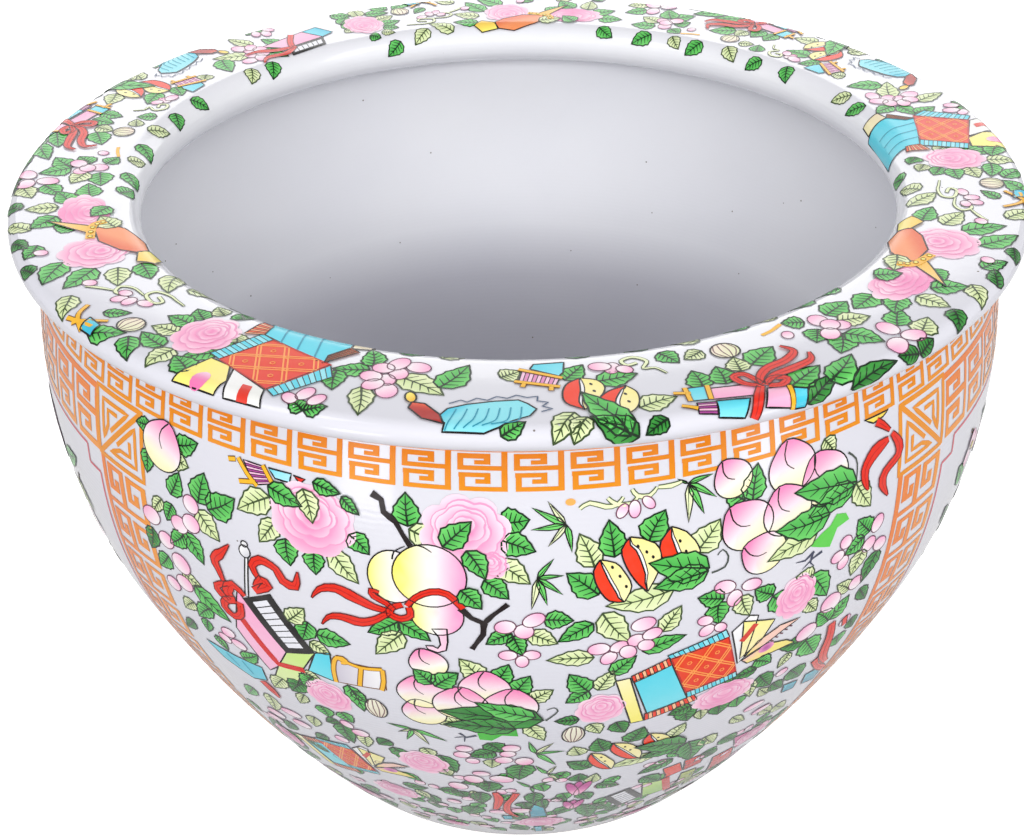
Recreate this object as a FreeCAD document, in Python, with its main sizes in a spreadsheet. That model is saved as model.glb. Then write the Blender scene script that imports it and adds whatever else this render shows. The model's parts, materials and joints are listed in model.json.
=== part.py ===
"""Porcelain fish bowl jardiniere, thrown in sections that are luted together with slip.

The bowl is a body of revolution about Z. Its foot stands on z = 0 and its front, the middle of one
flowered ground, faces -Y. The outer wall is two tangent arcs: the belly arc above and the flank arc
below. A broad rim overhangs the wall inwards and a little outwards. Overglaze enamel fields lie on the
glaze: key fret strips on the neck, two fret frames with their line and picture, two flowered grounds
and the flowered rim.
"""

import FreeCAD
import Part
import Sketcher

import math
import os

SIZES = {
    "rim_radius": 203.0,
    "overall_height": 297.5,
    "rim_breadth": 48.0,
    "lip_radius": 4.5,
    "nose_radius": 10.0,
    "rim_fall": 2.0,
    "neck_round": 3.0,
    "underside_round": 9.0,
    "belly_inset": 2.0,
    "belly_drop": 74.5,
    "belly_curve": 213.0,
    "flank_angle": 19.0,
    "flank_curve": 710.0,
    "wall": 10.0,
    "rim_section_height": 36.0,
    "floor_thickness": 14.0,
    "floor_cove": 40.0,
    "base_round": 6.0,
    "foot_height": 10.0,
    "foot_inset": 9.2,
    "foot_width": 13.0,
    "foot_chamfer": 1.5,
    "slip": 1.0,
    "glaze": 0.15,
    "enamel": 0.25,
    "fret_height": 14.0,
    "fret_drop": 0.5,
    "strip_gap": 0.3,
    "panel_drop": 1.2,
    "panel_height": 190.0,
    "panel_angle": 101.0,
    "frame_width": 27.0,
    "line_gap": 2.0,
    "line_width": 1.2,
    "picture_gap": 3.0,
    "ground_gap": 2.0,
    "ground_foot_gap": 6.0,
    "nose_cover": 75.0,
    "lip_cover": 70.0,
}
NOTES = {
    "rim_radius": "outermost radius of the rim's lip",
    "overall_height": "foot to the top of the lip",
    "rim_breadth": "rim across, from lip to nose",
    "lip_radius": "half round of the outer lip",
    "nose_radius": "half round of the rim's inner nose",
    "rim_fall": "fall of the rim top from lip to nose",
    "neck_round": "hollow between neck and lip",
    "underside_round": "hollow between wall and rim underside",
    "belly_inset": "how far the widest circle of the body stays inside the lip",
    "belly_drop": "widest circle below the top of the lip",
    "belly_curve": "radius of the belly arc",
    "flank_angle": "degrees of the belly arc below the widest circle",
    "flank_curve": "radius of the flank arc",
    "wall": "wall thickness",
    "rim_section_height": "height of the thrown rim section with its neck",
    "floor_thickness": "floor slab",
    "floor_cove": "hollow between floor and wall inside",
    "base_round": "round under the slab's edge",
    "foot_height": "foot ring with its slip joint",
    "foot_inset": "foot ring's outside inside the flank's lower edge",
    "foot_width": "foot ring across",
    "foot_chamfer": "bevels of the standing face",
    "slip": "thickness of a slip joint",
    "glaze": "clear glaze between the clay and an enamel field",
    "enamel": "thickness of a fired enamel field",
    "fret_height": "neck fret strips",
    "fret_drop": "bare glaze between neck hollow and fret strips",
    "strip_gap": "hairline between two strips of the neck fret",
    "panel_drop": "bare glaze between fret strips and frames",
    "panel_height": "fret frame, top to bottom",
    "panel_angle": "degrees that a fret frame spans",
    "frame_width": "width of the frame's fret band",
    "line_gap": "bare glaze between frame and line",
    "line_width": "line inside the frame",
    "picture_gap": "bare glaze between line and picture",
    "ground_gap": "bare glaze round a flowered ground",
    "ground_foot_gap": "bare glaze between ground and base round",
    "nose_cover": "degrees of the nose that the rim field covers",
    "lip_cover": "degrees of the lip that the rim field covers",
}
TURN = 360.0
HALF_TURN = 180.0
SIDES = ("right", "left")
FACES = ("front", "back")
STRIPS = 6
FRONT_ANGLE = -90.0
TINY = 1e-4

doc = FreeCAD.newDocument("fish_bowl")
sheet = doc.addObject("Spreadsheet::Sheet", "Sizes")
for row, (alias, size) in enumerate(SIZES.items(), start=1):
    sheet.set(f"A{row}", alias.replace("_", " "))
    sheet.set(f"B{row}", str(size))
    sheet.setAlias(f"B{row}", alias)
    sheet.set(f"C{row}", NOTES[alias])
doc.recompute()


def cells(text):
    """The text of a formula, with each size's name turned into its cell."""
    out, word = "", ""
    for letter in text + " ":
        if letter.isalnum() or letter == "_":
            word += letter
            continue
        out += f"Sizes.{word}" if word in SIZES else word
        out += letter
        word = ""
    return out.strip()


def value(text):
    """What a formula of the sheet's sizes comes to."""
    found = sheet.evalExpression(cells(text))
    return float(getattr(found, "Value", found))


# Heights that several pieces share

MOUTH_RADIUS = "(rim_radius - rim_breadth)"
BELLY_RADIUS = "(rim_radius - belly_inset)"
BELLY_HEIGHT = "(overall_height - belly_drop)"
LIP_HEIGHT = "(overall_height - lip_radius)"
LIP_CENTRE_R = "(rim_radius - lip_radius)"
LIP_BOTTOM = "(overall_height - 2 * lip_radius)"
NOSE_CENTRE_R = f"({MOUTH_RADIUS} + nose_radius)"
NOSE_TOP = "(overall_height - rim_fall)"
NOSE_HEIGHT = f"({NOSE_TOP} - nose_radius)"
NOSE_BOTTOM = f"({NOSE_TOP} - 2 * nose_radius)"
RIM_SEAT = "(overall_height - rim_section_height)"
BELLY_R = f"({BELLY_RADIUS} - belly_curve)"
FLANK_R = f"({BELLY_R} + (belly_curve - flank_curve) * cos(flank_angle))"
FLANK_HEIGHT = f"({BELLY_HEIGHT} - (belly_curve - flank_curve) * sin(flank_angle))"
WALL_JOINT = f"({BELLY_HEIGHT} - belly_curve * sin(flank_angle))"
FLOOR_TOP = "(foot_height + floor_thickness)"
WALL_FOOT = f"({FLOOR_TOP} + slip)"


def belly(height, depth="0"):
    """Radius of the belly arc at a height, depth under the outer face (negative is above it)."""
    return f"({BELLY_R} + sqrt((belly_curve - {depth})^2 - ({height} - {BELLY_HEIGHT})^2))"


def flank(height, depth="0"):
    """Radius of the flank arc at a height, depth under the outer face."""
    return f"({FLANK_R} + sqrt((flank_curve - {depth})^2 - ({height} - {FLANK_HEIGHT})^2))"


def hollow(centre_r, centre_height, curve, radius, height, sign):
    """Centre radius of a small arc that touches a big one, and its touching point as two formulas.

    The small arc's centre is at the given height. sign is -1 inside the big arc and +1 outside it.
    """
    reach = f"({curve} + {sign} * {radius})"
    middle = f"({centre_r} + sqrt({reach}^2 - ({height} - {centre_height})^2))"
    touch_r = f"({centre_r} + ({middle} - {centre_r}) * {curve} / {reach})"
    touch_height = f"({centre_height} + ({height} - {centre_height}) * {curve} / {reach})"
    return middle, touch_r, touch_height


NECK_CENTRE = f"({LIP_BOTTOM} - neck_round)"
NECK_R, NECK_TOUCH_R, NECK_TOUCH = hollow(BELLY_R, BELLY_HEIGHT, "belly_curve", "neck_round", NECK_CENTRE, 1)
UNDER_CENTRE = f"({NOSE_BOTTOM} - underside_round)"
UNDER_R, UNDER_TOUCH_R, UNDER_TOUCH = hollow(
    BELLY_R, BELLY_HEIGHT, "(belly_curve - wall)", "underside_round", UNDER_CENTRE, -1
)
COVE_CENTRE = f"({WALL_FOOT} + floor_cove)"
COVE_R, COVE_TOUCH_R, COVE_TOUCH = hollow(
    FLANK_R, FLANK_HEIGHT, "(flank_curve - wall)", "floor_cove", COVE_CENTRE, -1
)
FOOT_OUTER = f"({flank('foot_height')} - foot_inset)"
FOOT_INNER = f"({FOOT_OUTER} - foot_width)"
FRET_TOP = f"({NECK_TOUCH} - fret_drop)"
FRET_BOTTOM = f"({FRET_TOP} - fret_height)"
PANEL_TOP = f"({FRET_BOTTOM} - panel_drop)"
PANEL_BOTTOM = f"({PANEL_TOP} - panel_height)"
GROUND_BOTTOM = "(foot_height + base_round + ground_foot_gap)"

# An enamel field's underside and face, as depths under the clay's outer face

BED = "(0 - glaze)"
FACE = "(0 - glaze - enamel)"


def turned_by(angle):
    """A placement turned about Z by degrees."""
    return FreeCAD.Placement(FreeCAD.Vector(0, 0, 0), FreeCAD.Rotation(FreeCAD.Vector(0, 0, 1), angle))


def piece(label):
    """A new body with its label."""
    body = doc.addObject("PartDesign::Body", label)
    body.Label = label
    return body


def origin_plane(body, role):
    """The body's own origin plane of that role."""
    return next(item for item in body.Origin.OriginFeatures if item.Role == role)


def bind(sketch, kind, *args, formula):
    """Adds a dimension whose size follows the formula."""
    number = sketch.addConstraint(Sketcher.Constraint(kind, *args, value(formula)))
    sketch.setExpression(f"Constraints[{number}]", cells(formula))


def arc_between(first, last, radius, side):
    """The arc from first to last. side is 1 where its centre lies to the left of the way between them."""
    chord = last - first
    half = chord.Length / 2
    lift = math.sqrt(max(radius**2 - half**2, 0.0))
    across = FreeCAD.Vector(-chord.y, chord.x, 0).normalize()
    centre = first + chord * 0.5 + across * (lift * side)
    circle = Part.Circle(centre, FreeCAD.Vector(0, 0, 1), radius)
    start = math.atan2(first.y - centre.y, first.x - centre.x)
    end = math.atan2(last.y - centre.y, last.x - centre.x)
    return Part.ArcOfCircle(circle, *((start, end) if side > 0 else (end, start)))


def outline(body, corners, edges, name="Outline"):
    """A closed sketch in the body's XZ plane.

    corners are pairs of formulas, radius and height. edges run from each corner to the next: None is a
    line, and (radius formula, side) is an arc.
    """
    sketch = body.newObject("Sketcher::SketchObject", name)
    sketch.AttachmentSupport = [(origin_plane(body, "XZ_Plane"), "")]
    sketch.MapMode = "FlatFace"
    points = [FreeCAD.Vector(value(r), value(z), 0) for r, z in corners]
    ends = []
    for number, edge in enumerate(edges):
        first, last = points[number], points[(number + 1) % len(points)]
        if edge is None:
            sketch.addGeometry(Part.LineSegment(first, last), False)
            ends.append((1, 2))
        else:
            radius, side = edge
            sketch.addGeometry(arc_between(first, last, value(radius), side), False)
            ends.append((1, 2) if side > 0 else (2, 1))
    for number in range(len(edges)):
        following = (number + 1) % len(edges)
        sketch.addConstraint(
            Sketcher.Constraint("Coincident", number, ends[number][1], following, ends[following][0])
        )
    for number, (r, z) in enumerate(corners):
        spot = (number, ends[number][0])
        if abs(value(r)) < TINY:
            sketch.addConstraint(Sketcher.Constraint("PointOnObject", *spot, -2))
        else:
            bind(sketch, "DistanceX", -1, 1, *spot, formula=r)
        if abs(value(z)) < TINY:
            sketch.addConstraint(Sketcher.Constraint("PointOnObject", *spot, -1))
        else:
            bind(sketch, "DistanceY", -1, 1, *spot, formula=z)
    for number, edge in enumerate(edges):
        if edge is not None:
            bind(sketch, "Radius", number, formula=edge[0])
    return sketch


def turned(body, corners, edges, angle=None, name="Turning", kind="PartDesign::Revolution"):
    """Turns an outline about Z, all round or over an angle either side of +X. A Groove cuts it away."""
    sketch = outline(body, corners, edges, name + "Outline")
    feature = body.newObject(kind, name)
    feature.Profile = sketch
    feature.ReferenceAxis = (sketch, ["V_Axis"])
    if angle is None:
        feature.Angle = TURN
    else:
        feature.Midplane = True
        feature.setExpression("Angle", cells(angle))
    doc.recompute()
    return feature


def seam(label, low, high, outer, inner):
    """A thin ring of slip between two thrown sections. outer and inner give a radius for a height."""
    body = piece(label)
    corners = [(outer(low), low), (outer(high), high), (inner(high), high), (inner(low), low)]
    turned(body, corners, [None] * len(corners))
    return body


def make_foot_ring():
    """Turned foot ring with a bevelled standing face."""
    top = "(foot_height - slip)"
    body = piece("foot_ring")
    corners = [
        (f"({FOOT_INNER} + foot_chamfer)", "0"),
        (f"({FOOT_OUTER} - foot_chamfer)", "0"),
        (FOOT_OUTER, "foot_chamfer"),
        (FOOT_OUTER, top),
        (FOOT_INNER, top),
        (FOOT_INNER, "foot_chamfer"),
    ]
    turned(body, corners, [None] * len(corners))
    seam("foot_slip_joint", top, "foot_height", lambda height: FOOT_OUTER, lambda height: FOOT_INNER)


def make_floor_slab():
    """Floor slab, whose edge carries on the flank arc and is rounded under."""
    body = piece("floor_slab")
    corners = [
        ("0", "foot_height"),
        (flank("foot_height"), "foot_height"),
        (flank(FLOOR_TOP), FLOOR_TOP),
        ("0", FLOOR_TOP),
    ]
    turn = turned(body, corners, [None, ("flank_curve", 1), None, None])
    corner = value(flank("foot_height"))
    names = [
        f"Edge{number}"
        for number, edge in enumerate(turn.Shape.Edges, start=1)
        if isinstance(edge.Curve, Part.Circle) and abs(edge.Curve.Radius - corner) < TINY
    ]
    rounding = body.newObject("PartDesign::Fillet", "BaseRound")
    rounding.Base = (turn, names)
    rounding.setExpression("Radius", cells("base_round"))
    body.Tip = rounding


def make_lower_wall():
    """Lower thrown section: the flank, with a cove inside that runs out on the floor."""
    top = f"({WALL_JOINT} - slip / 2)"
    body = piece("lower_wall")
    corners = [
        (flank(WALL_FOOT), WALL_FOOT),
        (flank(top), top),
        (flank(top, "wall"), top),
        (COVE_TOUCH_R, COVE_TOUCH),
        (COVE_R, WALL_FOOT),
    ]
    inner_arc = ("(flank_curve - wall)", -1)
    turned(body, corners, [("flank_curve", 1), None, inner_arc, ("floor_cove", -1), None])
    seam("floor_slip_joint", FLOOR_TOP, WALL_FOOT, flank, lambda height: COVE_R)


def make_upper_wall():
    """Upper thrown section: the belly and shoulder."""
    low = f"({WALL_JOINT} + slip / 2)"
    high = f"({RIM_SEAT} - slip)"
    body = piece("upper_wall")
    corners = [
        (belly(low), low),
        (belly(high), high),
        (belly(high, "wall"), high),
        (belly(low, "wall"), low),
    ]
    turned(body, corners, [("belly_curve", 1), None, ("(belly_curve - wall)", -1), None])
    seam(
        "wall_slip_joint",
        f"({WALL_JOINT} - slip / 2)",
        low,
        belly,
        lambda height: belly(height, "wall"),
    )
    seam("rim_slip_joint", high, RIM_SEAT, belly, lambda height: belly(height, "wall"))


def make_rim():
    """Rim section: neck, lip, broad top, rolled nose and the hollow under it."""
    body = piece("rim")
    corners = [
        (belly(RIM_SEAT), RIM_SEAT),
        (NECK_TOUCH_R, NECK_TOUCH),
        (NECK_R, LIP_BOTTOM),
        (LIP_CENTRE_R, LIP_BOTTOM),
        ("rim_radius", LIP_HEIGHT),
        (LIP_CENTRE_R, "overall_height"),
        (NOSE_CENTRE_R, NOSE_TOP),
        (MOUTH_RADIUS, NOSE_HEIGHT),
        (NOSE_CENTRE_R, NOSE_BOTTOM),
        (UNDER_R, NOSE_BOTTOM),
        (UNDER_TOUCH_R, UNDER_TOUCH),
        (belly(RIM_SEAT, "wall"), RIM_SEAT),
    ]
    edges = [
        ("belly_curve", 1),
        ("neck_round", -1),
        None,
        ("lip_radius", 1),
        ("lip_radius", 1),
        None,
        ("nose_radius", 1),
        ("nose_radius", 1),
        None,
        ("underside_round", -1),
        ("(belly_curve - wall)", -1),
        None,
    ]
    turned(body, corners, edges)


def band_corners(low, high):
    """Outline of an enamel field that lies on the body between two heights, across the wall joint."""
    above = f"({WALL_JOINT} + slip / 2)"
    below = f"({WALL_JOINT} - slip / 2)"
    corners = [
        (flank(low, FACE), low),
        (flank(below, FACE), below),
        (belly(above, FACE), above),
        (belly(high, FACE), high),
        (belly(high, BED), high),
        (belly(above, BED), above),
        (flank(below, BED), below),
        (flank(low, BED), low),
    ]
    edges = [
        (f"(flank_curve - {FACE})", 1),
        None,
        (f"(belly_curve - {FACE})", 1),
        None,
        (f"(belly_curve - {BED})", -1),
        None,
        (f"(flank_curve - {BED})", -1),
        None,
    ]
    return corners, edges


def window(body, inset, name):
    """Cuts the middle out of a frame, inset from its edges on all four sides."""
    low = f"({PANEL_BOTTOM} + {inset})"
    high = f"({PANEL_TOP} - {inset})"
    out = f"({BELLY_RADIUS} + frame_width)"
    deep = FOOT_INNER
    corners = [(deep, low), (out, low), (out, high), (deep, high)]
    turned(body, corners, [None] * len(corners), inner_angle(inset), name, "PartDesign::Groove")


def inner_angle(inset):
    """Angle of a panel's field whose sides are inset, measured round the belly."""
    return f"(panel_angle - 2 * {inset} / {BELLY_RADIUS} * {HALF_TURN} / pi)"


def make_frame(side):
    """Fret frame, its line and its picture field, on the bowl's right or left."""
    turn = 0.0 if side == "right" else HALF_TURN
    line_in = "(frame_width + line_gap)"
    picture_in = f"({line_in} + line_width + picture_gap)"
    for label, outer_inset, inner_inset in (
        ("fret_frame", "0", "frame_width"),
        ("frame_line", line_in, f"({line_in} + line_width)"),
        ("picture", picture_in, None),
    ):
        body = piece(f"{label}_{side}")
        low = f"({PANEL_BOTTOM} + {outer_inset})"
        high = f"({PANEL_TOP} - {outer_inset})"
        turned(body, *band_corners(low, high), inner_angle(outer_inset))
        if inner_inset is not None:
            window(body, inner_inset, "Window")
        body.Placement = turned_by(turn)


def make_ground(face):
    """Flowered ground between the two frames, on the front or back."""
    turn = FRONT_ANGLE if face == "front" else -FRONT_ANGLE
    body = piece(f"flowered_ground_{face}")
    gap = f"(2 * ground_gap / {BELLY_RADIUS} * {HALF_TURN} / pi)"
    corners, edges = band_corners(GROUND_BOTTOM, PANEL_TOP)
    turned(body, corners, edges, f"({HALF_TURN} - panel_angle - {gap})")
    body.Placement = turned_by(turn)


def make_neck_fret():
    """Key fret round the neck, laid in strips of equal length."""
    corners = [
        (belly(FRET_BOTTOM, FACE), FRET_BOTTOM),
        (belly(FRET_TOP, FACE), FRET_TOP),
        (belly(FRET_TOP, BED), FRET_TOP),
        (belly(FRET_BOTTOM, BED), FRET_BOTTOM),
    ]
    edges = [(f"(belly_curve - {FACE})", 1), None, (f"(belly_curve - {BED})", -1), None]
    share = TURN / STRIPS
    for number in range(STRIPS):
        body = piece(f"neck_fret_strip_{number + 1}")
        turned(body, corners, edges, f"({share} - strip_gap / {BELLY_RADIUS} * {HALF_TURN} / pi)")
        body.Placement = turned_by(FRONT_ANGLE + number * share)


def make_rim_field():
    """Flowered field on the rim, from round its nose over the top to round its lip."""
    body = piece("flowered_rim")
    path = []
    for depth in (FACE, BED):
        nose = f"(nose_radius - {depth})"
        lip = f"(lip_radius - {depth})"
        path.append(
            [
                (f"({NOSE_CENTRE_R} - {nose} * sin(nose_cover))", f"({NOSE_HEIGHT} + {nose} * cos(nose_cover))"),
                (NOSE_CENTRE_R, f"({NOSE_HEIGHT} + {nose})"),
                (LIP_CENTRE_R, f"({LIP_HEIGHT} + {lip})"),
                (f"({LIP_CENTRE_R} + {lip} * sin(lip_cover))", f"({LIP_HEIGHT} + {lip} * cos(lip_cover))"),
            ]
        )
    face, bed = path
    edges = [
        (f"(nose_radius - {FACE})", -1),
        None,
        (f"(lip_radius - {FACE})", -1),
        None,
        (f"(lip_radius - {BED})", 1),
        None,
        (f"(nose_radius - {BED})", 1),
        None,
    ]
    turned(body, face + bed[::-1], edges)


make_foot_ring()
make_floor_slab()
make_lower_wall()
make_upper_wall()
make_rim()
make_neck_fret()
make_rim_field()
for side in SIDES:
    make_frame(side)
for face in FACES:
    make_ground(face)
doc.recompute()

# Every object must have been rebuilt, and every piece must be a sound solid, before anything is written.

for item in doc.Objects:
    if "Invalid" in item.State or "Error" in item.State:
        raise RuntimeError(f"{item.Label} did not rebuild: {item.State}")
bodies = [item for item in doc.Objects if item.TypeId == "PartDesign::Body"]
for body in bodies:
    if body.Shape.isNull() or not body.Shape.isValid() or not body.Shape.Solids:
        raise RuntimeError(f"{body.Label} is not a sound solid")
os.makedirs("parts", exist_ok=True)
for body in bodies:
    body.Shape.exportStep(f"parts/{body.Label}.step")
    print(body.Label, "solids", len(body.Shape.Solids), "volume", round(body.Shape.Volume, 1))
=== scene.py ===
"""Dresses the fish bowl: smooth glazed shells, and famille rose enamels laid on the glaze as thin patches.

Lengths inside the classes are millimetres and are turned into metres when a mesh is made. An azimuth is in
degrees, 0 at the front and positive to the right.
"""

import json
import logging
import math
from collections.abc import Callable
from dataclasses import dataclass, field
from enum import Enum

import bpy
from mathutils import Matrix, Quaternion, Vector
from mathutils.geometry import delaunay_2d_cdt

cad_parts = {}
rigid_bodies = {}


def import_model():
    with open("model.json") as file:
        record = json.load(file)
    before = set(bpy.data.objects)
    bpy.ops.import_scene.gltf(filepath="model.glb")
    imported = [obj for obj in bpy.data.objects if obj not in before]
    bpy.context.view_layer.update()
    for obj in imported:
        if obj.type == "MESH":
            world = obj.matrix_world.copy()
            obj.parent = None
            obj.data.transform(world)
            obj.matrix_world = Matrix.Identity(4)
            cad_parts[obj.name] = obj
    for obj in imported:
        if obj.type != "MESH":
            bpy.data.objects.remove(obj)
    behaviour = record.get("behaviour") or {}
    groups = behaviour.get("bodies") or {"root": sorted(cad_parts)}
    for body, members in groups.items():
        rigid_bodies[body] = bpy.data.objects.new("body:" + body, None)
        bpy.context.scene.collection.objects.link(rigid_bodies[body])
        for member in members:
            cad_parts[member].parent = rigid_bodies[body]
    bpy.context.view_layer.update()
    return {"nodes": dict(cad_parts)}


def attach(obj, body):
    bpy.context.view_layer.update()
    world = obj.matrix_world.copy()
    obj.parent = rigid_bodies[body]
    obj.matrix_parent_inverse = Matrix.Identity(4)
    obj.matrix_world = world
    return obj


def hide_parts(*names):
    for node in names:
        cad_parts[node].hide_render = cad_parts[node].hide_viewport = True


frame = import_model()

log = logging.getLogger("fish_bowl")

MM = 0.001
TINT = "tint"
SCREEN_WHITE = 255.0
EDGE_SHARE = 0.4
INSIDE_ONLY = 1
SAME_POINT = 1e-6
WOBBLE_START, WOBBLE_STEP = 1.7, 12.9898
Spot = tuple[float, float]
Way = list[Spot]
Widths = tuple[float, ...]
Colour = tuple[float, float, float]
Material = bpy.types.Material
Socket = bpy.types.NodeSocket


@dataclass(frozen=True)
class Arc:
    """A part of a circle in the bowl's section: centre radius, centre height and radius."""

    centre_r: float
    centre_z: float
    radius: float

    def at_height(self, z: float, depth: float = 0.0) -> Spot:
        """Radius and height of the arc at a height, depth under its outer face."""
        reach = self.radius - depth
        return self.centre_r + math.sqrt(reach * reach - (z - self.centre_z) ** 2), z

    def at_angle(self, angle: float, depth: float = 0.0) -> Spot:
        """Radius and height at an angle in degrees above the horizontal.

        Args:
            angle: degrees above the horizontal.
            depth: depth under the outer face.

        Returns:
            Radius and height.
        """
        turn = math.radians(angle)
        reach = self.radius - depth
        return self.centre_r + reach * math.cos(turn), self.centre_z + reach * math.sin(turn)


@dataclass(frozen=True)
class BowlSection:
    """The bowl's section, as the drawing gives it."""

    belly: Arc = Arc(-12.0, 223.0, 213.0)
    flank: Arc = Arc(-481.92, 384.81, 710.0)
    joint_height: float = 153.65
    lip: Arc = Arc(198.5, 293.0, 4.5)
    nose: Arc = Arc(165.0, 285.5, 10.0)
    lip_start: float = -10.0
    wall: float = 10.0

    def face(self, z: float) -> tuple[float, float, float]:
        """Outer radius at a height, and the outward direction there.

        Args:
            z: height on the wall.

        Returns:
            Radius, and the radial and upward parts of the direction.
        """
        arc = self.belly if z > self.joint_height else self.flank
        r, _ = arc.at_height(z)
        return r, (r - arc.centre_r) / arc.radius, (z - arc.centre_z) / arc.radius

    @property
    def lip_run(self) -> float:
        """Length round the lip, from its lower edge to its top."""
        return math.radians(90.0 - self.lip_start) * self.lip.radius

    @property
    def top_run(self) -> float:
        """Length of the flat top between lip and nose."""
        fall = self.lip.centre_z + self.lip.radius - self.nose.centre_z - self.nose.radius
        return math.hypot(self.lip.centre_r - self.nose.centre_r, fall)

    @property
    def flat_radius(self) -> float:
        """Radius that the rim's enamel path would start at if the path were laid out flat."""
        return self.lip.centre_r + self.lip_run

    def rim_face(self, q: float) -> tuple[float, float, float, float]:
        """A point of the rim's face.

        Args:
            q: way along the face, from the lip's lower edge over the top to the nose.

        Returns:
            Radius, height, and the radial and upward parts of the outward direction.
        """
        if q < self.lip_run:
            angle = math.radians(self.lip_start) + q / self.lip.radius
            out, up = math.cos(angle), math.sin(angle)
            arc = self.lip
        elif q < self.lip_run + self.top_run:
            share = (q - self.lip_run) / self.top_run
            start, end = self.lip, self.nose
            r = start.centre_r + share * (end.centre_r - start.centre_r)
            high = start.centre_z + start.radius
            low = end.centre_z + end.radius
            slope = math.atan2(high - low, start.centre_r - end.centre_r)
            return r, high + share * (low - high), -math.sin(slope), math.cos(slope)
        else:
            angle = math.pi / 2 + (q - self.lip_run - self.top_run) / self.nose.radius
            out, up = math.cos(angle), math.sin(angle)
            arc = self.nose
        return arc.centre_r + arc.radius * out, arc.centre_z + arc.radius * up, out, up


SECTION = BowlSection()


def linear(colour: Colour) -> tuple[float, float, float, float]:
    """A screen colour from 0 to 255 as a linear colour.

    Args:
        colour: red, green and blue, from 0 to 255.

    Returns:
        The linear colour, with full cover.
    """
    toe, toe_slope, rise, power = 0.04045, 12.92, 0.055, 2.4
    shares = (part / SCREEN_WHITE for part in colour)
    red, green, blue = (s / toe_slope if s <= toe else ((s + rise) / (1 + rise)) ** power for s in shares)
    return red, green, blue, 1.0


class Graph:
    """The shader nodes of a material or a world."""

    def __init__(self, owner: Material | bpy.types.World) -> None:
        """Takes the owner's nodes."""
        owner.use_nodes = True
        self.nodes, self.links = owner.node_tree.nodes, owner.node_tree.links

    def feed(self, node: bpy.types.Node, inputs: dict) -> None:
        """Gives a node's inputs what they take: constants, colours or other nodes' outputs.

        Args:
            node: the node.
            inputs: what each input takes, by its name.
        """
        for name, value in inputs.items():
            if isinstance(value, Socket):
                self.links.new(value, node.inputs[name])
            else:
                node.inputs[name].default_value = value

    def add(self, kind: str, output: str, inputs: dict | None = None, **settings: str) -> Socket:
        """Adds a node.

        Args:
            kind: the node's type, as it reads after ShaderNode.
            output: the output that is wanted.
            inputs: what its inputs take.
            settings: the node's own settings.

        Returns:
            The output.
        """
        node = self.nodes.new(f"ShaderNode{kind}")
        for name, value in settings.items():
            setattr(node, name, value)
        self.feed(node, inputs or {})
        return node.outputs[output]

    def mix(self, share: Socket, first: object, last: object, way: str = "MIX") -> Socket:
        """A blend of two colours."""
        inputs = {"Factor": share, "A": first, "B": last}
        return self.add("Mix", "Result", inputs, data_type="RGBA", blend_type=way)

    def seen(self) -> Socket:
        """One for what the camera, a reflection or a clear body shows, and nought for other light.

        Returns:
            The share, 0 or 1.
        """
        sight = path = self.add("LightPath", "Is Camera Ray")
        for ray in ("Is Glossy Ray", "Is Transmission Ray"):
            sight = self.add("Math", "Value", {0: sight, 1: path.node.outputs[ray]}, operation="MAXIMUM")
        return sight


def new_material(name: str) -> tuple[Material, Graph, bpy.types.Node]:
    """A new material, its nodes and its main shader.

    Args:
        name: its name.

    Returns:
        The three of them.
    """
    material = bpy.data.materials.new(name)
    graph = Graph(material)
    return material, graph, graph.nodes["Principled BSDF"]


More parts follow.
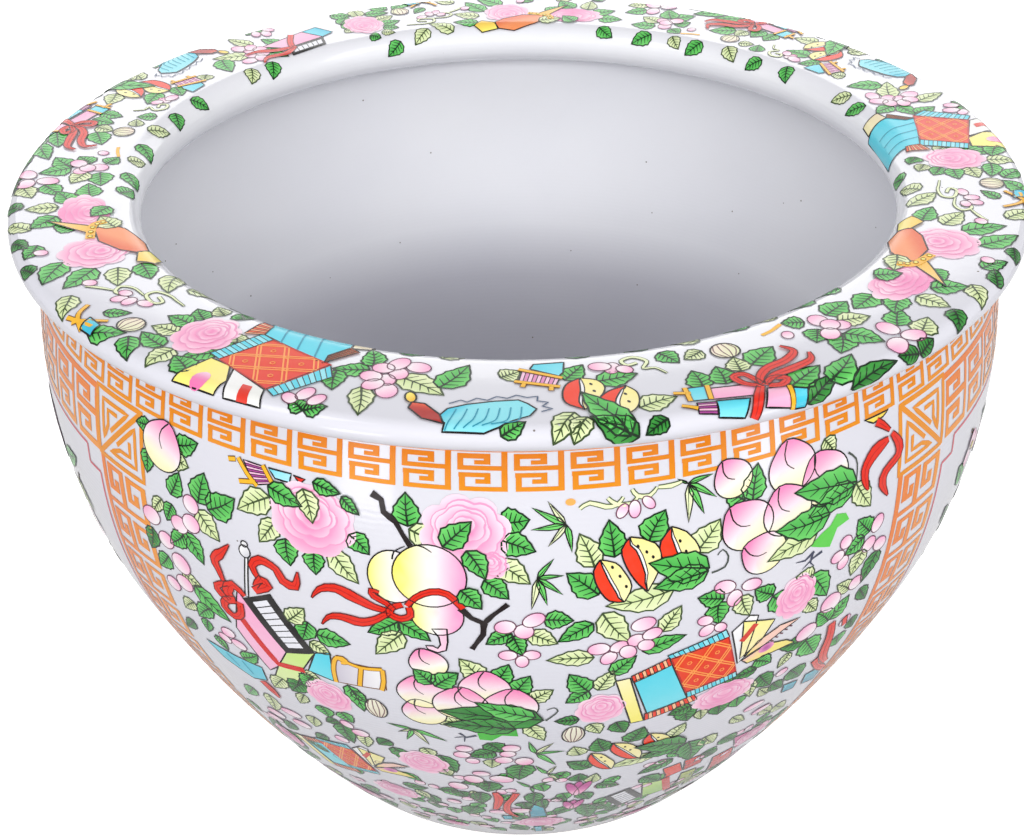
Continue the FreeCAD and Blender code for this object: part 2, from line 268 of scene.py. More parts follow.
@dataclass(frozen=True)
class GlazeFinish:
    """Clear glossy glaze over a pale body, with faint throwing rings and a few specks, and painted light and
    shade inside the bowl: lighter near the rim, darker towards the floor.
    """

    name: str = "glaze"
    cloud_colour: Colour = (240, 241, 246)
    cloud_scale: float = 9.0
    painted_shading_attribute: str = "painted_shading"
    # painted light and shade of the inside: share 0 is the plain glaze of the outside, small shares near the
    # rim are painted lighter, and the large shares down to the floor are painted shade
    painted_shading_shares: tuple = (
        (0.0, (226, 225, 232)), (0.03, (250, 250, 252)), (0.47, (252, 252, 254)), (0.58, (220, 219, 225)),
        (1.0, (200, 199, 205)),
    )
    painted_shading_top: float = 298.0
    painted_shading_foot: float = 22.0
    skin: float = 4.0
    speck_colour: Colour = (120, 110, 105)
    speck_scale: float = 260.0
    speck_size: float = 0.09
    speck_edge: float = 0.13
    speck_share: float = 0.985
    roughness: float = 0.1
    ring_scale: float = 150.0
    ring_waver: float = 1.5
    ring_strength: float = 0.03
    ring_distance: float = 0.0006

    def mark(self, mesh: bpy.types.Mesh) -> None:
        """Records how deep each point of the inside lies, for the painted light and shade of the inside:
        lighter near the rim, darker down to the floor.

        Args:
            mesh: the shell's mesh.
        """
        depths = []
        for vertex in mesh.vertices:
            x, y, z = (c / MM for c in vertex.co)
            share = (self.painted_shading_top - z) / (self.painted_shading_top - self.painted_shading_foot)
            is_inner = z > self.painted_shading_foot / 2 and math.hypot(x, y) < SECTION.face(z)[0] - self.skin
            depths.append(min(max(share, 0.0), 1.0) if is_inner else 0.0)
        mesh.attributes.new(self.painted_shading_attribute, "FLOAT", "POINT").data.foreach_set("value", depths)

    def make(self) -> Material:
        """Builds the material.

        Returns:
            The material.
        """
        material, graph, shader = new_material(self.name)
        place = graph.add("TexCoord", "Object")
        cloud = graph.add("TexNoise", "Fac", {"Scale": self.cloud_scale, "Vector": place})
        # painted light and shade: the inside is lighter near the rim and darker down to the floor
        depth = graph.add("Attribute", "Fac", attribute_name=self.painted_shading_attribute)
        tone = graph.add("ValToRGB", "Color", {"Fac": depth})
        marks = tone.node.color_ramp.elements
        marks[0].color = linear(self.painted_shading_shares[0][1])
        marks[-1].color = linear(self.painted_shading_shares[-1][1])
        for share, colour in self.painted_shading_shares[1:-1]:
            marks.new(share).color = linear(colour)
        clouded = graph.mix(cloud, tone, linear(self.cloud_colour), "MULTIPLY")
        cells = graph.add("TexVoronoi", "Color", {"Scale": self.speck_scale, "Vector": place})
        ends = {"From Min": self.speck_size, "From Max": self.speck_edge, "To Min": 1.0, "To Max": 0.0}
        dot = graph.add("MapRange", "Result", {"Value": cells.node.outputs["Distance"], **ends})
        chance = graph.add("SeparateColor", "Red", {"Color": cells})
        rare = graph.add("Math", "Value", {0: chance, 1: self.speck_share}, operation="GREATER_THAN")
        both = graph.add("Math", "Value", {0: dot, 1: rare}, operation="MULTIPLY")
        wave = {"Scale": self.ring_scale, "Distortion": self.ring_waver, "Vector": place}
        rings = graph.add("TexWave", "Fac", wave, bands_direction="Z")
        bump = {"Strength": self.ring_strength, "Distance": self.ring_distance, "Height": rings}
        graph.feed(shader, {
            "Base Color": graph.mix(both, clouded, linear(self.speck_colour)),
            "Roughness": self.roughness,
            "Normal": graph.add("Bump", "Normal", bump),
        })
        return material


@dataclass(frozen=True)
class BiscuitFinish:
    """Unglazed ground clay of the foot ring."""

    name: str = "biscuit"
    colour: Colour = (196, 188, 172)
    dark_colour: Colour = (168, 156, 138)
    grain_scale: float = 420.0
    roughness: float = 0.8
    grain_strength: float = 0.35
    grain_distance: float = 0.0003

    def make(self) -> Material:
        """Builds the material.

        Returns:
            The material.
        """
        material, graph, shader = new_material(self.name)
        place = graph.add("TexCoord", "Object")
        grain = graph.add("TexNoise", "Fac", {"Scale": self.grain_scale, "Vector": place})
        bump = {"Strength": self.grain_strength, "Distance": self.grain_distance, "Height": grain}
        graph.feed(shader, {
            "Base Color": graph.mix(grain, linear(self.colour), linear(self.dark_colour)),
            "Roughness": self.roughness,
            "Normal": graph.add("Bump", "Normal", bump),
        })
        return material


@dataclass(frozen=True)
class EnamelFinish:
    """Glossy overglaze enamel, coloured by the piece's own tint attribute."""

    name: str = "enamel"
    worn_colour: Colour = (232, 228, 226)
    worn_share: float = 0.03
    worn_from: float = 0.4
    worn_to: float = 0.7
    worn_scale: float = 120.0
    worn_detail: float = 4.0
    roughness: float = 0.14
    rough_more: float = 0.24
    sheen_level: float = 0.18

    def make(self) -> Material:
        """Builds the material.

        Returns:
            The material.
        """
        material, graph, shader = new_material(self.name)
        tint = graph.add("VertexColor", "Color", layer_name=TINT)
        place = graph.add("TexCoord", "Object")
        noise = {"Scale": self.worn_scale, "Detail": self.worn_detail, "Vector": place}
        wear = graph.add("TexNoise", "Fac", noise)
        ends = {"From Min": self.worn_from, "From Max": self.worn_to, "To Max": self.worn_share}
        share = graph.add("MapRange", "Result", {"Value": wear, **ends})
        gloss = {"Value": wear, "To Min": self.roughness, "To Max": self.rough_more}
        graph.feed(shader, {
            "Base Color": graph.mix(share, tint, linear(self.worn_colour)),
            "Roughness": graph.add("MapRange", "Result", gloss),
            "Specular IOR Level": self.sheen_level,
        })
        return material


def deselect() -> None:
    """Leaves nothing selected."""
    for item in bpy.context.view_layer.objects:
        item.select_set(False)


def declare(item: bpy.types.Object, slot: str, nodes: list[str]) -> None:
    """Puts a finished piece on the bowl's body and hides the nodes that it stands for.

    Args:
        item: the piece.
        slot: its material slot. Not used.
        nodes: the nodes that it stands for.
    """
    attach(item, "root")
    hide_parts(*nodes)
    log.info("%s: %d faces", item.name, len(item.data.polygons))


@dataclass
class GlazedShell:
    """One thrown section under its glaze: a closed outline in the bowl's section, spun about Z."""

    name: str
    nodes: list[str]
    slot: str = "porcelain"
    steps: int = 240
    edge_angle: float = 32.0

    def make(self, outline: Way, material: Material) -> None:
        """Spins the outline.

        Args:
            outline: radius and height of each point, anticlockwise in the section, closed by itself. A
                point on the axis starts and ends an open outline.
            material: the finish.
        """
        deselect()
        points = [(r * MM, 0.0, z * MM) for r, z in outline]
        edges = [(i, i + 1) for i in range(len(points) - 1)]
        if outline[0][0] > 0.0:
            edges.append((len(points) - 1, 0))
        mesh = bpy.data.meshes.new(self.name)
        mesh.from_pydata(points, edges, [])
        item = bpy.data.objects.new(self.name, mesh)
        bpy.context.scene.collection.objects.link(item)
        bpy.context.view_layer.objects.active = item
        item.select_set(True)
        bpy.ops.object.mode_set(mode="EDIT")
        bpy.ops.mesh.select_all(action="SELECT")
        bpy.ops.mesh.spin(steps=self.steps, angle=2 * math.pi, center=(0, 0, 0), axis=(0, 0, 1))
        bpy.ops.mesh.select_all(action="SELECT")
        bpy.ops.mesh.remove_doubles(threshold=SAME_POINT)
        bpy.ops.mesh.normals_make_consistent(inside=False)
        bpy.ops.object.mode_set(mode="OBJECT")
        bpy.ops.object.shade_smooth_by_angle(angle=math.radians(self.edge_angle))
        mesh.materials.append(material)
        # painted light and shade of the inside, kept as a point attribute
        GlazeFinish().mark(mesh)
        item.select_set(False)
        declare(item, self.slot, self.nodes)


def steps_between(start: float, end: float, step: float) -> list[float]:
    """Evenly spaced values from start to end, both kept, no further apart than step."""
    count = max(1, math.ceil(abs(end - start) / step))
    return [start + (end - start) * i / count for i in range(count + 1)]


@dataclass
class Vessel:
    """The bowl's body: floor, lower wall, upper wall and rim section."""

    floor_bottom: float = 10.0
    floor_top: float = 24.0
    rim_seat: float = 261.0
    base_round: float = 6.0
    cove: float = 40.0
    neck_round: float = 3.0
    under_round: float = 9.0
    along: float = 3.0
    round_step: float = 9.0
    base_inset: float = 0.93
    base_turn: float = -27.0

    def wall_line(self, arc: Arc, low: float, high: float, depth: float = 0.0) -> Way:
        """Points up one face of a wall between two heights."""
        return [arc.at_height(z, depth) for z in steps_between(low, high, self.along)]

    def small_arc(self, centre: Spot, radius: float, start: float, end: float) -> Way:
        """Points of a small arc between two angles in degrees."""
        arc = Arc(centre[0], centre[1], radius)
        return [arc.at_angle(angle) for angle in steps_between(start, end, self.round_step)]

    def touching(self, arc: Arc, depth: float, radius: float, height: float, sign: int) -> tuple:
        """The small arc that touches a wall face.

        Args:
            arc: the wall's arc.
            depth: depth of the face under the arc.
            radius: the small arc's radius.
            height: its centre's height.
            sign: -1 where it lies inside the face, 1 outside.

        Returns:
            Its centre, and the angle in degrees from the wall's centre through the touching point.
        """
        reach = arc.radius - depth + sign * radius
        out = math.sqrt(reach * reach - (height - arc.centre_z) ** 2)
        angle = math.degrees(math.atan2(height - arc.centre_z, out))
        return (arc.centre_r + out, height), angle

    def build(self, glaze: Material) -> None:
        """Makes the four shells.

        Args:
            glaze: the glaze.
        """
        belly, flank, wall, joint = SECTION.belly, SECTION.flank, SECTION.wall, SECTION.joint_height
        edge, _ = flank.at_height(self.floor_bottom)
        corner = (edge - self.base_round * self.base_inset, self.floor_bottom + self.base_round)
        underside = self.small_arc(corner, self.base_round, -90.0, self.base_turn)
        side = self.wall_line(flank, self.floor_bottom, self.floor_top)
        side = [p for p in side if p[1] > underside[-1][1]]
        inner_edge = (side[-1][0] - wall, self.floor_top)
        floor = [(0.0, self.floor_bottom), *underside, *side, inner_edge, (0.0, self.floor_top)]
        GlazedShell("glazed_floor", ["floor_slab"]).make(floor, glaze)

        cove, cove_angle = self.touching(flank, wall, self.cove, self.floor_top + self.cove, -1)
        inside = self.wall_line(flank, joint, cove[1] + self.cove * math.sin(math.radians(cove_angle)), wall)
        sweep = self.small_arc(cove, self.cove, cove_angle, -90.0)
        lower = [*self.wall_line(flank, self.floor_top, joint), *inside, *sweep[1:]]
        GlazedShell("glazed_flank", ["lower_wall", "floor_slip_joint"]).make(lower, glaze)

        upper = self.wall_line(belly, joint, self.rim_seat)
        upper += self.wall_line(belly, self.rim_seat, joint, wall)
        GlazedShell("glazed_belly", ["upper_wall", "wall_slip_joint"]).make(upper, glaze)

        lip, nose = SECTION.lip, SECTION.nose
        lip_low = lip.centre_z - lip.radius
        neck, neck_angle = self.touching(belly, 0.0, self.neck_round, lip_low - self.neck_round, 1)
        neck_touch = neck[1] - self.neck_round * math.sin(math.radians(neck_angle))
        nose_low = nose.centre_z - nose.radius
        under, under_angle = self.touching(belly, wall, self.under_round, nose_low - self.under_round, -1)
        under_touch = under[1] + self.under_round * math.sin(math.radians(under_angle))
        section = self.wall_line(belly, self.rim_seat, neck_touch)
        section += self.small_arc(neck, self.neck_round, 180.0 + neck_angle, 90.0)[1:]
        section += self.small_arc((lip.centre_r, lip.centre_z), lip.radius, -90.0, 90.0)
        section += self.small_arc((nose.centre_r, nose.centre_z), nose.radius, 90.0, 270.0)
        section += self.small_arc(under, self.under_round, 90.0, under_angle)
        section += self.wall_line(belly, under_touch, self.rim_seat, wall)[1:]
        GlazedShell("glazed_rim", ["rim", "rim_slip_joint"]).make(section, glaze)


WHITE = (250, 249, 250)
INK = (14, 10, 12)
PINK = (250, 168, 208)
PALE_PINK = (254, 214, 232)
ROSE = (240, 120, 178)
MAUVE = (108, 56, 82)
RED = (230, 38, 12)
DARK_RED = (186, 18, 14)
YELLOW = (255, 243, 118)
CREAM = (255, 246, 190)
TURQUOISE = (88, 214, 234)
DEEP_TURQUOISE = (28, 150, 178)
GOLD = (246, 186, 44)
BROWN = (120, 74, 22)
ORANGE = (234, 66, 12)
LATTICE_LINE = (255, 166, 78)
FRET = (232, 144, 22)
FRET_RED = (224, 122, 20)
PURPLE = (170, 70, 150)
LIME = (206, 236, 138)
BRANCH = (26, 14, 16)
MID_TURQUOISE = (60, 190, 220)
PALE_TURQUOISE = (140, 228, 240)
SOFT_PINK = (250, 190, 220)
WARM_PINK = (250, 190, 216)


def wobble(*numbers: float) -> float:
    """A fixed value from -1 to 1 that looks chance-made, from some numbers."""
    return math.sin(sum((i + WOBBLE_START) * WOBBLE_STEP * number for i, number in enumerate(numbers)))


def between(values: tuple, share: float) -> tuple:
    """The two neighbours at a share of the way along some values, and how far it lies between them.

    Args:
        values: the values in order.
        share: how far along, from 0 to 1.

    Returns:
        The lower and the upper neighbour, and the share between them.
    """
    place = share * (len(values) - 1)
    low = min(int(place), len(values) - 1)
    return values[low], values[min(low + 1, len(values) - 1)], place - low


@dataclass(frozen=True)
class Tint:
    """Colours that run evenly from one local point to another, or in rings about the first."""

    colours: tuple[Colour, ...]
    start: Spot = (0.0, 0.0)
    end: Spot = (1.0, 0.0)
    rings: bool = False

    def at(self, x: float, y: float) -> Colour:
        """The colour at a local point.

        Args:
            x: the point's place across.
            y: the point's place up.

        Returns:
            Red, green and blue.
        """
        dx, dy = self.end[0] - self.start[0], self.end[1] - self.start[1]
        px, py = x - self.start[0], y - self.start[1]
        length = math.hypot(dx, dy)
        share = math.hypot(px, py) / length if self.rings else (px * dx + py * dy) / length**2
        first, last, part = between(self.colours, min(max(share, 0.0), 1.0))
        return tuple(a + (b - a) * part for a, b in zip(first, last))


@dataclass(frozen=True)
class WallSurface:
    """The outer wall. A spot on it is an azimuth and a height."""

    lattice: float = 5.0
    petal_step: float = 3.0
    leaf_growth: tuple[float, float] = (1.04, 1.08)
    lift: float = 0.12
    lift_step: float = 0.035
    line_step: float = 3.0

    def place(self, az: float, h: float, u: float, v: float, lift: float) -> tuple:
        """The point and outward direction u across and v up from a spot, lifted off the glaze.

        Args:
            az: the spot's azimuth.
            h: its height, or its way in on the rim.
            u: distance across.
            v: distance up or inwards.
            lift: height over the glaze.

        Returns:
            The point and its direction.
        """
        r, out, up = SECTION.face(h + v)
        turn = math.radians(az) + u / r
        side, ahead = math.sin(turn), -math.cos(turn)
        point = ((r + lift * out) * side, (r + lift * out) * ahead, h + v + lift * up)
        return point, (out * side, out * ahead, up)

    def local(self, az: float, h: float, to_az: float, to_h: float) -> Spot:
        """Where another spot lies, across and up from a spot."""
        r, _, _ = SECTION.face(to_h)
        return math.radians(to_az - az) * r, to_h - h


@dataclass(frozen=True)
class RimSurface:
    """The rim's face. A spot on it is an azimuth and a way in from the lip's lower edge."""

    lattice: float = 1.8
    petal_step: float = 1.8
    leaf_growth: tuple[float, float] = (1.12, 1.12)
    lift: float = 0.12
    lift_step: float = 0.05
    line_step: float = 1.3
    last_way: float = 57.0

    def place(self, az: float, h: float, u: float, v: float, lift: float) -> tuple:
        """The point and outward direction u across and v inwards from a spot, lifted off the glaze.

        Args:
            az: the spot's azimuth.
            h: its height, or its way in on the rim.
            u: distance across.
            v: distance up or inwards.
            lift: height over the glaze.

        Returns:
            The point and its direction.
        """
        flat = SECTION.flat_radius - h - v
        turn = math.radians(az) + math.atan2(u, flat)
        way = min(max(SECTION.flat_radius - math.hypot(u, flat), 0.0), self.last_way)
        r, z, out, up = SECTION.rim_face(way)
        side, ahead = math.sin(turn), -math.cos(turn)
        point = ((r + lift * out) * side, (r + lift * out) * ahead, z + lift * up)
        return point, (out * side, out * ahead, up)

    def local(self, az: float, h: float, to_az: float, to_h: float) -> Spot:
        """Where another spot lies, across and inwards from a spot.

        Args:
            az: the spot's azimuth.
            h: its height, or its way in on the rim.
            to_az: the other spot's azimuth.
            to_h: its way in.

        Returns:
            The distances across and inwards.
        """
        near, far = SECTION.flat_radius - h, SECTION.flat_radius - to_h
        turn = math.radians(to_az - az)
        return far * math.sin(turn), near - far * math.cos(turn)


WALL = WallSurface()


@dataclass
class Sheet:
    """The enamel patches of one piece, gathered until its mesh is made."""

    name: str
    slot: str
    nodes: list[str]
    points: list = field(default_factory=list)
    normals: list = field(default_factory=list)
    colours: list = field(default_factory=list)
    faces: list = field(default_factory=list)

    def make(self, material: Material) -> None:
        """Makes the mesh with its colours and true surface directions.

        Args:
            material: the enamel.
        """
        if not self.faces:
            return
        mesh = bpy.data.meshes.new(self.name)
        mesh.from_pydata([[c * MM for c in p] for p in self.points], [], self.faces)
        tint = mesh.attributes.new(TINT, "FLOAT_COLOR", "POINT")
        tint.data.foreach_set("color", [c for colour in self.colours for c in linear(colour)])
        mesh.shade_smooth()
        mesh.normals_split_custom_set_from_vertices(self.normals)
        mesh.materials.append(material)
        item = bpy.data.objects.new(self.name, mesh)
        bpy.context.scene.collection.objects.link(item)
        declare(item, self.slot, self.nodes)


def curved(p: float, q: float, r: float, s: float, t: float) -> float:
    """A value t of the way on the smooth curve from q to r, which p comes before and s after."""
    return 0.5 * (2 * q + (r - p) * t + (2 * p - 5 * q + 4 * r - s) * t * t + (3 * q - p - 3 * r + s) * t**3)


def smooth_way(points: Way, step: float, closed: bool = False) -> Way:
    """A smooth curve through some points, as points no further apart than step.

    Args:
        points: the points in order.
        step: the largest distance between points.
        closed: True for a closed line.

    Returns:
        The curve's points.
    """
    count = len(points)
    out = []
    for i in range(count if closed else count - 1):
        if closed:
            a, b, c, d = (points[(i + k) % count] for k in (-1, 0, 1, 2))
        else:
            b, c = points[i], points[i + 1]
            a = points[i - 1] if i else b
            d = points[i + 2] if i + 2 < count else c
        parts = max(2, math.ceil(math.dist(b, c) / step))
        out += [tuple(curved(*row, k / parts) for row in zip(a, b, c, d)) for k in range(parts)]
    return out if closed else [*out, points[-1]]


def straight_way(points: Way, step: float, closed: bool = False) -> Way:
    """The same corners with points between them, no further apart than step.

    Args:
        points: the points in order.
        step: the largest distance between points.
        closed: True for a closed line.

    Returns:
        The points in order.
    """
    out = []
    for first, last in zip(points, points[1:] + points[:1] if closed else points[1:]):
        parts = max(1, math.ceil(math.dist(first, last) / step))
        out += [tuple(p + (q - p) * k / parts for p, q in zip(first, last)) for k in range(parts)]
    return out if closed else [*out, points[-1]]


def is_inside(x: float, y: float, outline: Way) -> bool:
    """True where a point lies inside a closed outline.

    Args:
        x: the point's place across.
        y: the point's place up.
        outline: the outline's corners.

    Returns:
        Whether it lies inside.
    """
    found = False
    for (ax, ay), (bx, by) in zip(outline, outline[1:] + outline[:1]):
        if (ay > y) != (by > y) and x < (bx - ax) * (y - ay) / (by - ay) + ax:
            found = not found
    return found


def turned(x: float, y: float, turn: float) -> Spot:
    """A point turned by degrees about the origin."""
    c, s = math.cos(math.radians(turn)), math.sin(math.radians(turn))
    return x * c - y * s, x * s + y * c


def oval(a: float, b: float, turn: float = 0.0, count: int = 20, x: float = 0.0, y: float = 0.0) -> Way:
    """Points round an oval of half widths a and b, turned by degrees, with its middle at x and y.

    Args:
        a: half width across.
        b: half width up.
        turn: turn in degrees.
        count: how many there are.
        x: its middle across.
        y: its middle up.

    Returns:
        The points in order.
    """
    angles = [2 * math.pi * i / count for i in range(count)]
    spots = (turned(a * math.cos(g), b * math.sin(g), turn) for g in angles)
    return [(x + u, y + v) for u, v in spots]


def blend_spot(first: Spot, last: Spot, share: float) -> Spot:
    """The point a share of the way from one to another."""
    return first[0] + (last[0] - first[0]) * share, first[1] + (last[1] - first[1]) * share


def in_cell(corners: Way, x: float, y: float) -> Spot:
    """The point at two shares of a four-cornered cell: along its first side, and from there to its third."""
    a, b, c, d = corners
    return blend_spot(blend_spot(a, b, x), blend_spot(d, c, x), y)


def cell_part(corners: Way, x0: float, y0: float, x1: float, y1: float) -> Way:
    """The corners of a smaller cell between shares of a cell."""
    return [in_cell(corners, x, y) for x, y in ((x0, y0), (x1, y0), (x1, y1), (x0, y1))]


@dataclass
class Pen:
    """Draws enamel patches and lines about a spot, into a sheet."""

    surface: WallSurface | RimSurface
    sheet: Sheet
    az: float
    h: float
    turn: float = 0.0
    level: float = 0.0
    spin: float = 0.0

    def spots(self, places: Way) -> Way:
        """Azimuths and heights as local points."""
        return [turned(*self.surface.local(self.az, self.h, az, h), -self.turn) for az, h in places]

    def put(self, points: Way, tint: Tint, faces: list, level: float) -> None:
        """Adds a patch that is already divided.

        Args:
            points: the points in order.
            tint: its colours.
            faces: the corners of each face, by number.
            level: enamel layers over the ground.
        """
        base = len(self.sheet.points)
        lift = self.surface.lift + (self.level + level) * self.surface.lift_step
        for x, y in points:
            point, normal = self.surface.place(self.az + self.spin, self.h, *turned(x, y, self.turn), lift)
            self.sheet.points.append(point)
            self.sheet.normals.append(normal)
            self.sheet.colours.append(tint.at(x, y))
        self.sheet.faces.extend([base + i for i in face] for face in faces)

    def fill(self, outline: Way, tint: Tint, level: float = 0.0, step: float = 0.0) -> None:
        """Fills a closed outline.

        Args:
            outline: local points in order.
            tint: its colours.
            level: enamel layers above the pen's own level.
            step: size of the triangles, or 0 for the surface's own.
        """
        step = step or self.surface.lattice
        edge = straight_way(outline, step, closed=True)
        low_x, low_y = (min(side) for side in zip(*edge))
        high_x, high_y = (max(side) for side in zip(*edge))
        inner = []
        for j in range(1, math.ceil((high_y - low_y) / step)):
            for i in range(1, math.ceil((high_x - low_x) / step) + 1):
                x, y = low_x + (i - 0.5 * (j % 2)) * step, low_y + j * step
                if is_inside(x, y, edge) and min(math.dist((x, y), p) for p in edge) > step * EDGE_SHARE:
                    inner.append((x, y))
        loops = [list(range(len(edge)))]
        found = delaunay_2d_cdt([Vector(p) for p in edge + inner], [], loops, INSIDE_ONLY, SAME_POINT)
        self.put([tuple(p) for p in found[0]], tint, found[2], level)

    def band(self, points: Way, widths: Widths, tint: Tint, level: float = 0.0) -> list[Way]:
        """A strip along a way.

        Args:
            points: the way's points, already close together.
            widths: widths spread evenly from its start to its end.
            tint: its colours.
            level: enamel layers above the pen's own level.

        Returns:
            The points of its two sides.
        """
        last = len(points) - 1
        left, right = [], []
        for i, (x, y) in enumerate(points):
            before, after = points[max(i - 1, 0)], points[min(i + 1, last)]
            dx, dy = after[0] - before[0], after[1] - before[1]
            length = math.hypot(dx, dy) or 1.0
            near, far, part = between(widths, i / last)
            half = (near + (far - near) * part) / 2
            left.append((x - dy / length * half, y + dx / length * half))
            right.append((x + dy / length * half, y - dx / length * half))
        both = [p for pair in zip(left, right) for p in pair]
        faces = [(2 * i, 2 * i + 1, 2 * i + 3, 2 * i + 2) for i in range(last)]
        self.put(both, tint, faces, level)
        return [left, right]

    def line(self, points: Way, widths: Widths | float = 0.5, colour: Colour = INK, level: float = 1.0,
             closed: bool = False, smooth: bool = False) -> None:
        """A line of one colour along some points, closed or smooth where that is asked.

        Args:
            points: the points in order.
            widths: widths spread evenly along it.
            colour: its colour.
            level: enamel layers over the ground.
            closed: True for a closed line.
            smooth: True for a smooth curve.
        """
        step = self.surface.line_step
        way = smooth_way(points, step, closed) if smooth else straight_way(points, step, closed)
        widths = widths if isinstance(widths, tuple) else (widths,)
        self.band(way + way[:2] if closed else way, widths, Tint((colour,)), level)

    def shape(self, outline: Way, tint: Tint, level: float = 0.0, edge: Colour = INK,
              width: float = 0.6) -> None:
        """Fills an outline and draws its edge."""
        self.fill(outline, tint, level)
        self.line(outline, width, edge, level + 1, closed=True)


class LeafKind(Enum):
    """The leaf enamels: light, dark and ink."""

    GREEN = ((110, 210, 104), (72, 178, 76), (10, 44, 16))
    # DEEP is a darker green, used mostly for leaves low on the flank: partly the painting's own darker
    # leaves, partly painted shade of the lower flank
    DEEP = ((66, 160, 66), (38, 120, 44), (8, 38, 14))
    PALE = ((236, 244, 196), (212, 230, 164), (60, 78, 42))
    BRIGHT = ((96, 206, 78), (72, 186, 62), (20, 70, 24))


@dataclass(frozen=True)
class Motifs:
    """The painter's motifs. Each draws with a pen, about its spot, in millimetres."""

    side_points: int = 9
    rib_points: int = 5
    fullest: float = 0.66
    tooth: float = 0.07
    vein_shares: tuple[float, ...] = (0.14, 0.3, 0.46, 0.62)
    vein_reach: float = 0.13
    vein_last: float = 0.9
    vein_side: float = 0.72
    upper_shade_shares: Spot = (0.45, -0.1)
    lower_shade_shares: Spot = (0.0, -0.5)
    leaf_line: float = 0.62
    rib_line: Widths = (0.78, 0.3)
    vein_line: Widths = (0.52, 0.24)
    berry_points: int = 18
    blush_shares: Spot = (0.4, 0.3)
    thin_line: float = 0.4
    round_shares: tuple = (
        (1.0, 8, 0.0, 0.0), (0.8, 7, 0.02, 0.03), (0.6, 6, -0.02, 0.06), (0.42, 5, 0.02, 0.09),
        (0.24, 3, 0.0, 0.11),
    )
    peony_tones: tuple = ((252, 190, 218), (240, 128, 184), (247, 148, 196), (251, 184, 214), (254, 224, 238))
    round_turn: float = 0.9
    lobe_points: int = 6
    lobe_depth: float = 0.16
    lobe_bend: float = 0.6
    tone_shares: Spot = (0.1, 0.96)
    petal_line: Widths = (0.3, 0.8, 0.3, 0.7, 0.25, 0.8)
    petal_ink: Colour = (242, 158, 200)
    petal_rise: float = 0.5
    peach_points: int = 28
    peach_line: float = 0.5
    peach_tones: tuple = ((247, 130, 186), (252, 190, 216), WHITE, CREAM)
    peach_wide: float = 1.04
    tip_rise: float = 0.2
    tip_power: int = 10
    peach_shade_shares: Spot = (1.1, -0.7)
    cleft_shares: tuple = ((0, 1.15), (-0.22, 0.7), (-0.2, 0.25), (0.05, -0.05))
    cleft_line: Widths = (0.6, 0.3)
    ribbon_ink: Colour = (96, 8, 10)
    ribbon_line: float = 0.42
    fold_line: Widths = (0.2, 0.35, 0.2)
    fold_least: int = 4
    blade_shares: tuple = ((0, 0), (0.25, 0.11), (0.5, 0.1), (1, 0), (0.5, -0.06), (0.25, -0.08))
    blade_line: Widths = (0.35, 0.15)
    blade_rib: float = 0.8
    stripe_line: float = 0.28
    doubled_shares: Spot = (-0.035, 0.035)
    crossing_shares: Spot = (0.25, 0.75)
    ring_shares: tuple[float, ...] = (0.25, 0.5, 0.75)
    ring_size: float = 0.8
    ring_points: int = 6
    rind_colour: Colour = (244, 58, 22)
    flesh_colours: tuple = ((255, 240, 150), CREAM)
    rind_shares: Spot = (0.42, 0.52)
    melon_lines: Widths = (0.6, 0.5, 0.35, 0.5)
    seed_size: Spot = (0.5, 0.75)

    def leaf(self, pen: Pen, length: float, width: float, kind: LeafKind, bend: float) -> None:
        """A leaf from the pen's spot along its x axis.

        Args:
            pen: the pen.
            length: the leaf's length.
            width: its width.
            kind: its enamels.
            bend: sideways bow of its rib, as a share of its length.
        """
        light, dark, ink = kind.value

        def beside(t: float, sign: int, share: float) -> Spot:
            """The point at a share of the length, and at a share of the half width to one side."""
            half = width / 2 * math.sin(math.pi * t**self.fullest) * share
            return t * length, bend * length * math.sin(math.pi * t) + sign * half

        shares = [i / self.side_points for i in range(1, self.side_points)]
        upper, lower = (
            [beside(t, sign, 1 + self.tooth * (1 if i % 2 else -1)) for i, t in enumerate(shares, 1)]
            for sign in (1, -1)
        )
        rib = [beside(i / self.rib_points, 0, 0) for i in range(self.rib_points + 1)]
        for side, tones, (start, end) in (
            (upper, (light, dark), self.upper_shade_shares), (lower, (dark, light), self.lower_shade_shares),
        ):
            pen.fill([*rib, *side[::-1]], Tint(tones, (0.0, width * start), (0.0, width * end)))
        pen.line([rib[0], *upper, rib[-1], *lower[::-1]], self.leaf_line, ink, closed=True)
        pen.line(rib, self.rib_line, ink)
        for t in self.vein_shares:
            reach = min(t + self.vein_reach, self.vein_last)
            for sign in (1, -1):
                pen.line([beside(t, 0, 0), beside(reach, sign, self.vein_side)], self.vein_line, ink)

    def berry(self, pen: Pen, a: float, b: float) -> None:
        """A round fruit or petal of half widths a and b, blushed at one side.

        Args:
            pen: the pen.
            a: half width across.
            b: half width up.
        """
        pink, pale = self.blush_shares
        tint = Tint((PINK, PALE_PINK, WHITE), (a, b * pink), (-a, -b * pale))
        pen.shape(oval(a, b, 0, self.berry_points), tint, 0, MAUVE, self.thin_line)

